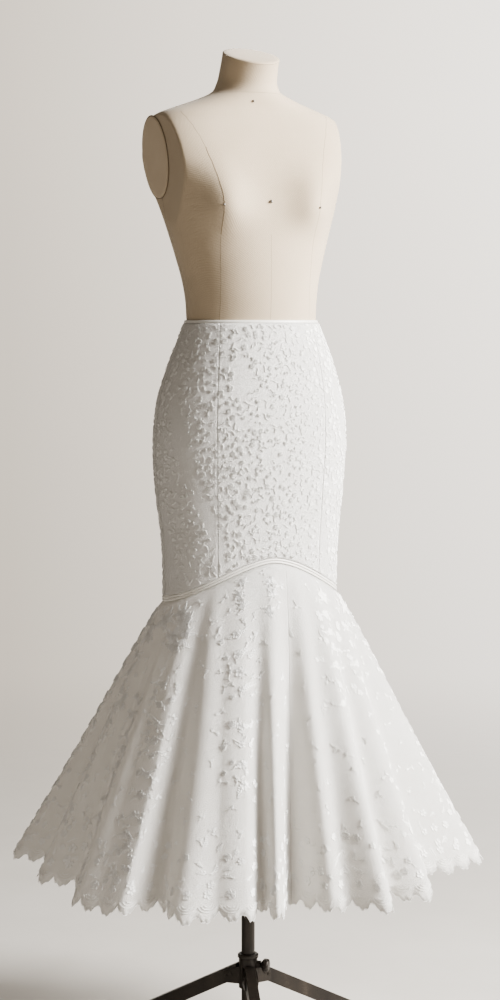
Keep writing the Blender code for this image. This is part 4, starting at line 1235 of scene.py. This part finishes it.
def build_arm_plates():
    """Padded ovals in darker linen with a thin corded edge in the colour of painted seam shade, where the
    arms would start.
    """
    profile = [(0.02, 0.0036), (0.5, 0.0035), (0.85, 0.0032), (0.96, 0.0029), (0.99, 0.0024), (1.0, 0.0016),
               (1.0, 0.0002)]
    for side, name in ((1, "form_arm_plate_left"), (-1, "form_arm_plate_right")):
        grid = np.stack([plate_ring(side, share, out) for share, out in profile])
        grid_piece(name + "_cover", grid, TAN_LINEN, "tan_linen", name, closed=True, caps=["first"])
        ring = plate_ring(side, 1.012, 0.0008)
        # The edging cord is coloured with painted shade.
        cord_piece(name + "_edge", np.concatenate([ring, ring[:2]]), 0.0011, 6, SEAM_SHADE, "tan_linen")


def seam_ribbon(name, path, width=0.0011, material=SEAM_PAINTED_SHADE, proud=0.00025):
    """A thin line of painted seam shade on the cover along (degrees, height) points, finely stepped."""
    path = np.array(path, float)
    t = np.linspace(0, len(path) - 1, 12 * len(path))
    degrees, heights = (np.interp(t, np.arange(len(path)), column) for column in path.T)
    centre = torso_point(degrees, heights)
    normal = torso_normal(degrees, heights)
    across = unit(np.cross(normal, np.gradient(centre, axis=0))) * width / 2
    grid = np.stack([centre + across, centre + proud * normal, centre - across])
    grid_piece(name, grid, material, "cream_linen")


def degrees_at(x, height):
    """The angle on the front of the cover at that distance from the centre front."""
    fine = np.linspace(-89, 89, 1781)
    line = torso_point(fine, np.full_like(fine, height))[:, 0]
    return float(np.interp(x, line, fine))


def build_form_seams():
    """The cover's princess, side and centre seams and the seam round the neck as lines of painted shade, and
    a wider line of painted shadow along part of the right front seam.
    """
    heights = [0.0, 0.03, 0.06, 0.09, 0.12, 0.15, 0.175, 0.20, 0.225, 0.25, 0.275, 0.30, 0.32, 0.34, 0.355,
               0.366]
    widths = [0.086, 0.085, 0.085, 0.086, 0.087, 0.089, 0.090, 0.091, 0.094, 0.099, 0.105, 0.112, 0.119,
              0.127, 0.134, 0.139]
    for side, name in ((1, "left"), (-1, "right")):
        path = [(degrees_at(side * x, height), height) for x, height in zip(widths, heights)]
        seam_ribbon(f"seam_front_{name}", path)
        if side < 0:
            # Painted shadow: a wider, darker line along part of the right front seam.
            seam_ribbon("seam_right_painted_shadow", path[5:12], 0.0016, SEAM_SHADE, 0.0004)
        seam_ribbon(f"seam_back_{name}", [(side * (146 - 12 * height), height) for height in heights[:14]])
        seam_ribbon(f"seam_side_{name}", [(side * (92 + 6 * height), height) for height in heights[:10]])
    seam_ribbon("seam_centre_front", [(0, height) for height in heights[:6]], 0.0009)
    seam_ribbon("seam_centre_back", [(180, height) for height in heights])
    seam_ribbon("seam_neck", [(step, 0.403) for step in range(-180, 181, 10)], 0.0009)


def pin(name, degrees, height, radius):
    """The round head of a pin stuck in the cover."""
    spot = np.array([degrees]), np.array([height])
    centre = torso_point(*spot)[0] + torso_normal(*spot)[0] * radius * 0.5
    maker = bmesh.new()
    bmesh.ops.create_uvsphere(maker, u_segments=16, v_segments=10, radius=radius)
    bmesh.ops.translate(maker, vec=centre, verts=maker.verts)
    linked(name, made_mesh(maker, name), PIN, "form").data.shade_smooth()


def build_pins():
    """Five pins, on the front's middle and bust points, the neck and the back."""
    pin("pin_centre_front", 0.0, 0.207, 0.0030)
    pin("pin_neck", -4.0, 0.386, 0.0022)
    pin("pin_bust_left", degrees_at(0.090, 0.198), 0.198, 0.0019)
    pin("pin_bust_right", degrees_at(-0.091, 0.200), 0.200, 0.0019)
    pin("pin_centre_back", 180.0, 0.330, 0.0022)


# ---------------------------------------------------------------- the stand
def build_stand():
    """The solids keep their shape and get rounded edges and paint, and each leg's bracket two rivets."""
    for name in ("stand_hub", "stand_knob", "stand_leg_1", "stand_leg_2", "stand_leg_3"):
        body = "knob" if name == "stand_knob" else "stand"
        refined(name, body, METAL, 0.0012 if name != "stand_hub" else 0.0006)
    for number in (1, 2, 3):
        refined(f"stand_foot_{number}", "stand", RUBBER, 0.0020)
    for name, look in {"stand_pole": METAL, "zip_coil": COIL, "form_base_board": BOARD}.items():
        data = frame["nodes"][name].data
        data.materials.clear()
        data.materials.append(look)
    for number, degrees in enumerate(LEG_DEGREES, 1):
        angle = math.radians(degrees)
        out = np.array([math.sin(angle), -math.cos(angle), 0.0])
        across = np.array([-out[1], out[0], 0.0])
        for place, reach in RIVET_REACHES:
            height = LEG_START_Z - (reach - LEG_START_R) * math.tan(math.radians(LEG_SLOPE_DEG))
            centre = out * reach + np.array([0, 0, height])
            line = [centre + share * across for share in (-RIVET_HALF, -RIVET_HALF + RIVET_EDGE,
                                                          RIVET_HALF - RIVET_EDGE, RIVET_HALF)]
            made = cord_piece(f"rivet_{number}_{place}", line, RIVET_RADIUS, 16, METAL, "dark_metal",
                              body="stand")
            made.data.set_sharp_from_angle(angle=math.radians(40))


# ---------------------------------------------------------------- camera, light and floor
def area_light(name, place, target, size, power, colour):
    """A rectangular lamp at a place, turned to its target."""
    data = bpy.data.lights.new(name, "AREA")
    data.shape = "RECTANGLE"
    data.size, data.size_y = size
    data.energy = power
    data.color = colour
    made = bpy.data.objects.new(name, data)
    made.location = place
    way = np.array(target) - np.array(place)
    tilt = math.atan2(math.hypot(way[0], way[1]), -way[2])
    made.rotation_euler = (tilt, 0, math.atan2(way[1], way[0]) - math.pi / 2)
    bpy.context.scene.collection.objects.link(made)


def build_camera():
    """The photograph's camera, solved from the hem's ellipse, the piping and the neck."""
    data = bpy.data.cameras.new("camera")
    data.lens = CAMERA_LENS_MM
    data.sensor_width = 36.0
    made = bpy.data.objects.new("camera", data)
    made.location = np.array(CAMERA_PLACE) + CAMERA_SIDESTEP * np.array(CAMERA_RIGHT)
    made.rotation_euler = (math.radians(90 - CAMERA_DOWN_DEG), 0, math.radians(CAMERA_TURN_DEG))
    bpy.context.scene.collection.objects.link(made)
    bpy.context.scene.camera = made


def build_floor():
    """A pale floor that fades out into the surround."""
    maker = bmesh.new()
    bmesh.ops.create_circle(maker, cap_ends=True, radius=FLOOR_RADIUS, segments=96)
    nodes = Nodes("pale_floor")
    stops = [(0.3, (0.50, 0.475, 0.44)), (0.7, (0.54, 0.515, 0.48))]
    nodes.own(Base_Color=nodes.ramp(nodes.noise(3.0, 4.0, 0.6), stops), Roughness=0.9)
    length = nodes.add("ShaderNodeVectorMath", {0: nodes.place}, operation="LENGTH").outputs["Value"]
    fade = nodes.ranged(length, 0.6, 4.5, interpolation_type="SMOOTHSTEP")
    clear = nodes.add("ShaderNodeBsdfTransparent").outputs["BSDF"]
    nodes.mixed(fade, nodes.shader.outputs["BSDF"], clear, "Material")
    linked("floor", made_mesh(maker, "floor"), nodes.material)


def build_world():
    """A pale surround seen by the camera, with painted light: lighter towards the lamp's side and upwards,
    and warmer on the shaded side. A faint warm light all round.
    """
    world = bpy.data.worlds.new("studio")
    bpy.context.scene.world = world
    world.use_nodes = True
    world.node_tree.nodes.clear()
    tree = Tree(world.node_tree)
    place = tree.add("ShaderNodeTexCoord").outputs["Generated"]
    height = tree.add("ShaderNodeSeparateXYZ", {"Vector": place}).outputs["Z"]
    feeds = {0: place, 1: CAMERA_RIGHT}
    side = tree.add("ShaderNodeVectorMath", feeds, operation="DOT_PRODUCT").outputs["Value"]
    # Painted light on the surround: brighter and less warm towards the lamp's side, darker downwards.
    across = tree.ranged(side, -0.12, 0.12, 1.00, 1.90)
    painted_light_upward = tree.ranged(height, -0.33, 0.10, 0.66, 1.00)
    feeds = {"A": rgb((1.0, 0.90, 0.77)), "B": rgb((1.0, 0.935, 0.85)),
             "Factor": tree.ranged(side, -0.12, 0.12)}
    painted_light_tint = tree.add("ShaderNodeMix", feeds, data_type="RGBA").outputs["Result"]
    feeds = {"Color": painted_light_tint, "Strength": tree.math("MULTIPLY", across, painted_light_upward)}
    seen = tree.add("ShaderNodeBackground", feeds).outputs["Background"]
    feeds = {"Color": rgb((1.0, 0.90, 0.78)), "Strength": WORLD_LIGHT}
    light = tree.add("ShaderNodeBackground", feeds).outputs["Background"]
    to_camera = tree.add("ShaderNodeLightPath").outputs["Is Camera Ray"]
    tree.mixed(to_camera, light, seen, "World")


def build_lights():
    """A key from the form's left, a low fill from its right and a dim light from behind."""
    level, high = math.cos(math.radians(KEY_HEIGHT_DEG)), math.sin(math.radians(KEY_HEIGHT_DEG))
    x, y = (share * KEY_REACH * level for share in KEY_HEADING)
    place = (x, y, KEY_TARGET_Z + KEY_REACH * high)
    area_light("key", place, (0, 0, KEY_TARGET_Z), (1.6, 2.3), KEY_POWER, (1.0, 0.985, 0.955))
    area_light("low_fill", (-1.7, -1.5, 0.22), (0, 0, 0.62), (1.6, 0.4), FILL_POWER, (1.0, 0.93, 0.84))
    area_light("back", (1.4, 3.0, 2.4), (0, 0, 1.1), (2.0, 2.0), BACK_POWER, (1.0, 0.98, 0.95))


# ---------------------------------------------------------------- the cloth's own cut
# Width, length and area in the flat, in metres: a panel's widest and longest measure, and for a gore of the
# flounce the part of a ring that its seam, its hem and its slant give.
CUTS = {
    "skirt_front": (0.216, 0.454, 0.089),
    "skirt_side_left": (0.137, 0.499, 0.058),
    "skirt_side_right": (0.137, 0.499, 0.058),
    "skirt_back_left": (0.242, 0.501, 0.112),
    "skirt_back_right": (0.242, 0.501, 0.112),
    "flounce_front_left": (0.830, 0.600, 0.310),
    "flounce_front_right": (0.777, 0.606, 0.306),
    "flounce_back_left": (0.785, 0.576, 0.285),
    "flounce_back_right": (0.743, 0.576, 0.273),
}


def declare_sheets():
    """For each cut piece, reads its size in the flat and gathers the pieces sewn on it, which nothing then
    uses.
    """
    pieces = bpy.data.objects
    for name, (width, length, area) in CUTS.items():
        on_it = [pieces[name + "_lace"]]
        if name.startswith("flounce"):
            on_it += [pieces[name + "_picots"], pieces[name + "_eyelash"]]


build_camera()
for panel in PANELS:
    hip_panel(*panel)
for gore in GORES:
    flounce_gore(*gore)
for step in (build_hip_lace, build_flounce_lace, build_hem_edge, build_seam_tapes, build_seam_stitches,
             build_piping, build_binding, build_zip, build_cover, build_neck_cap, build_arm_plates,
             build_form_seams, build_pins, build_stand, declare_sheets, build_floor, build_world,
             build_lights):
    step()
bpy.context.scene.view_settings.view_transform = "AgX"
bpy.context.scene.view_settings.look = "AgX - Medium High Contrast"
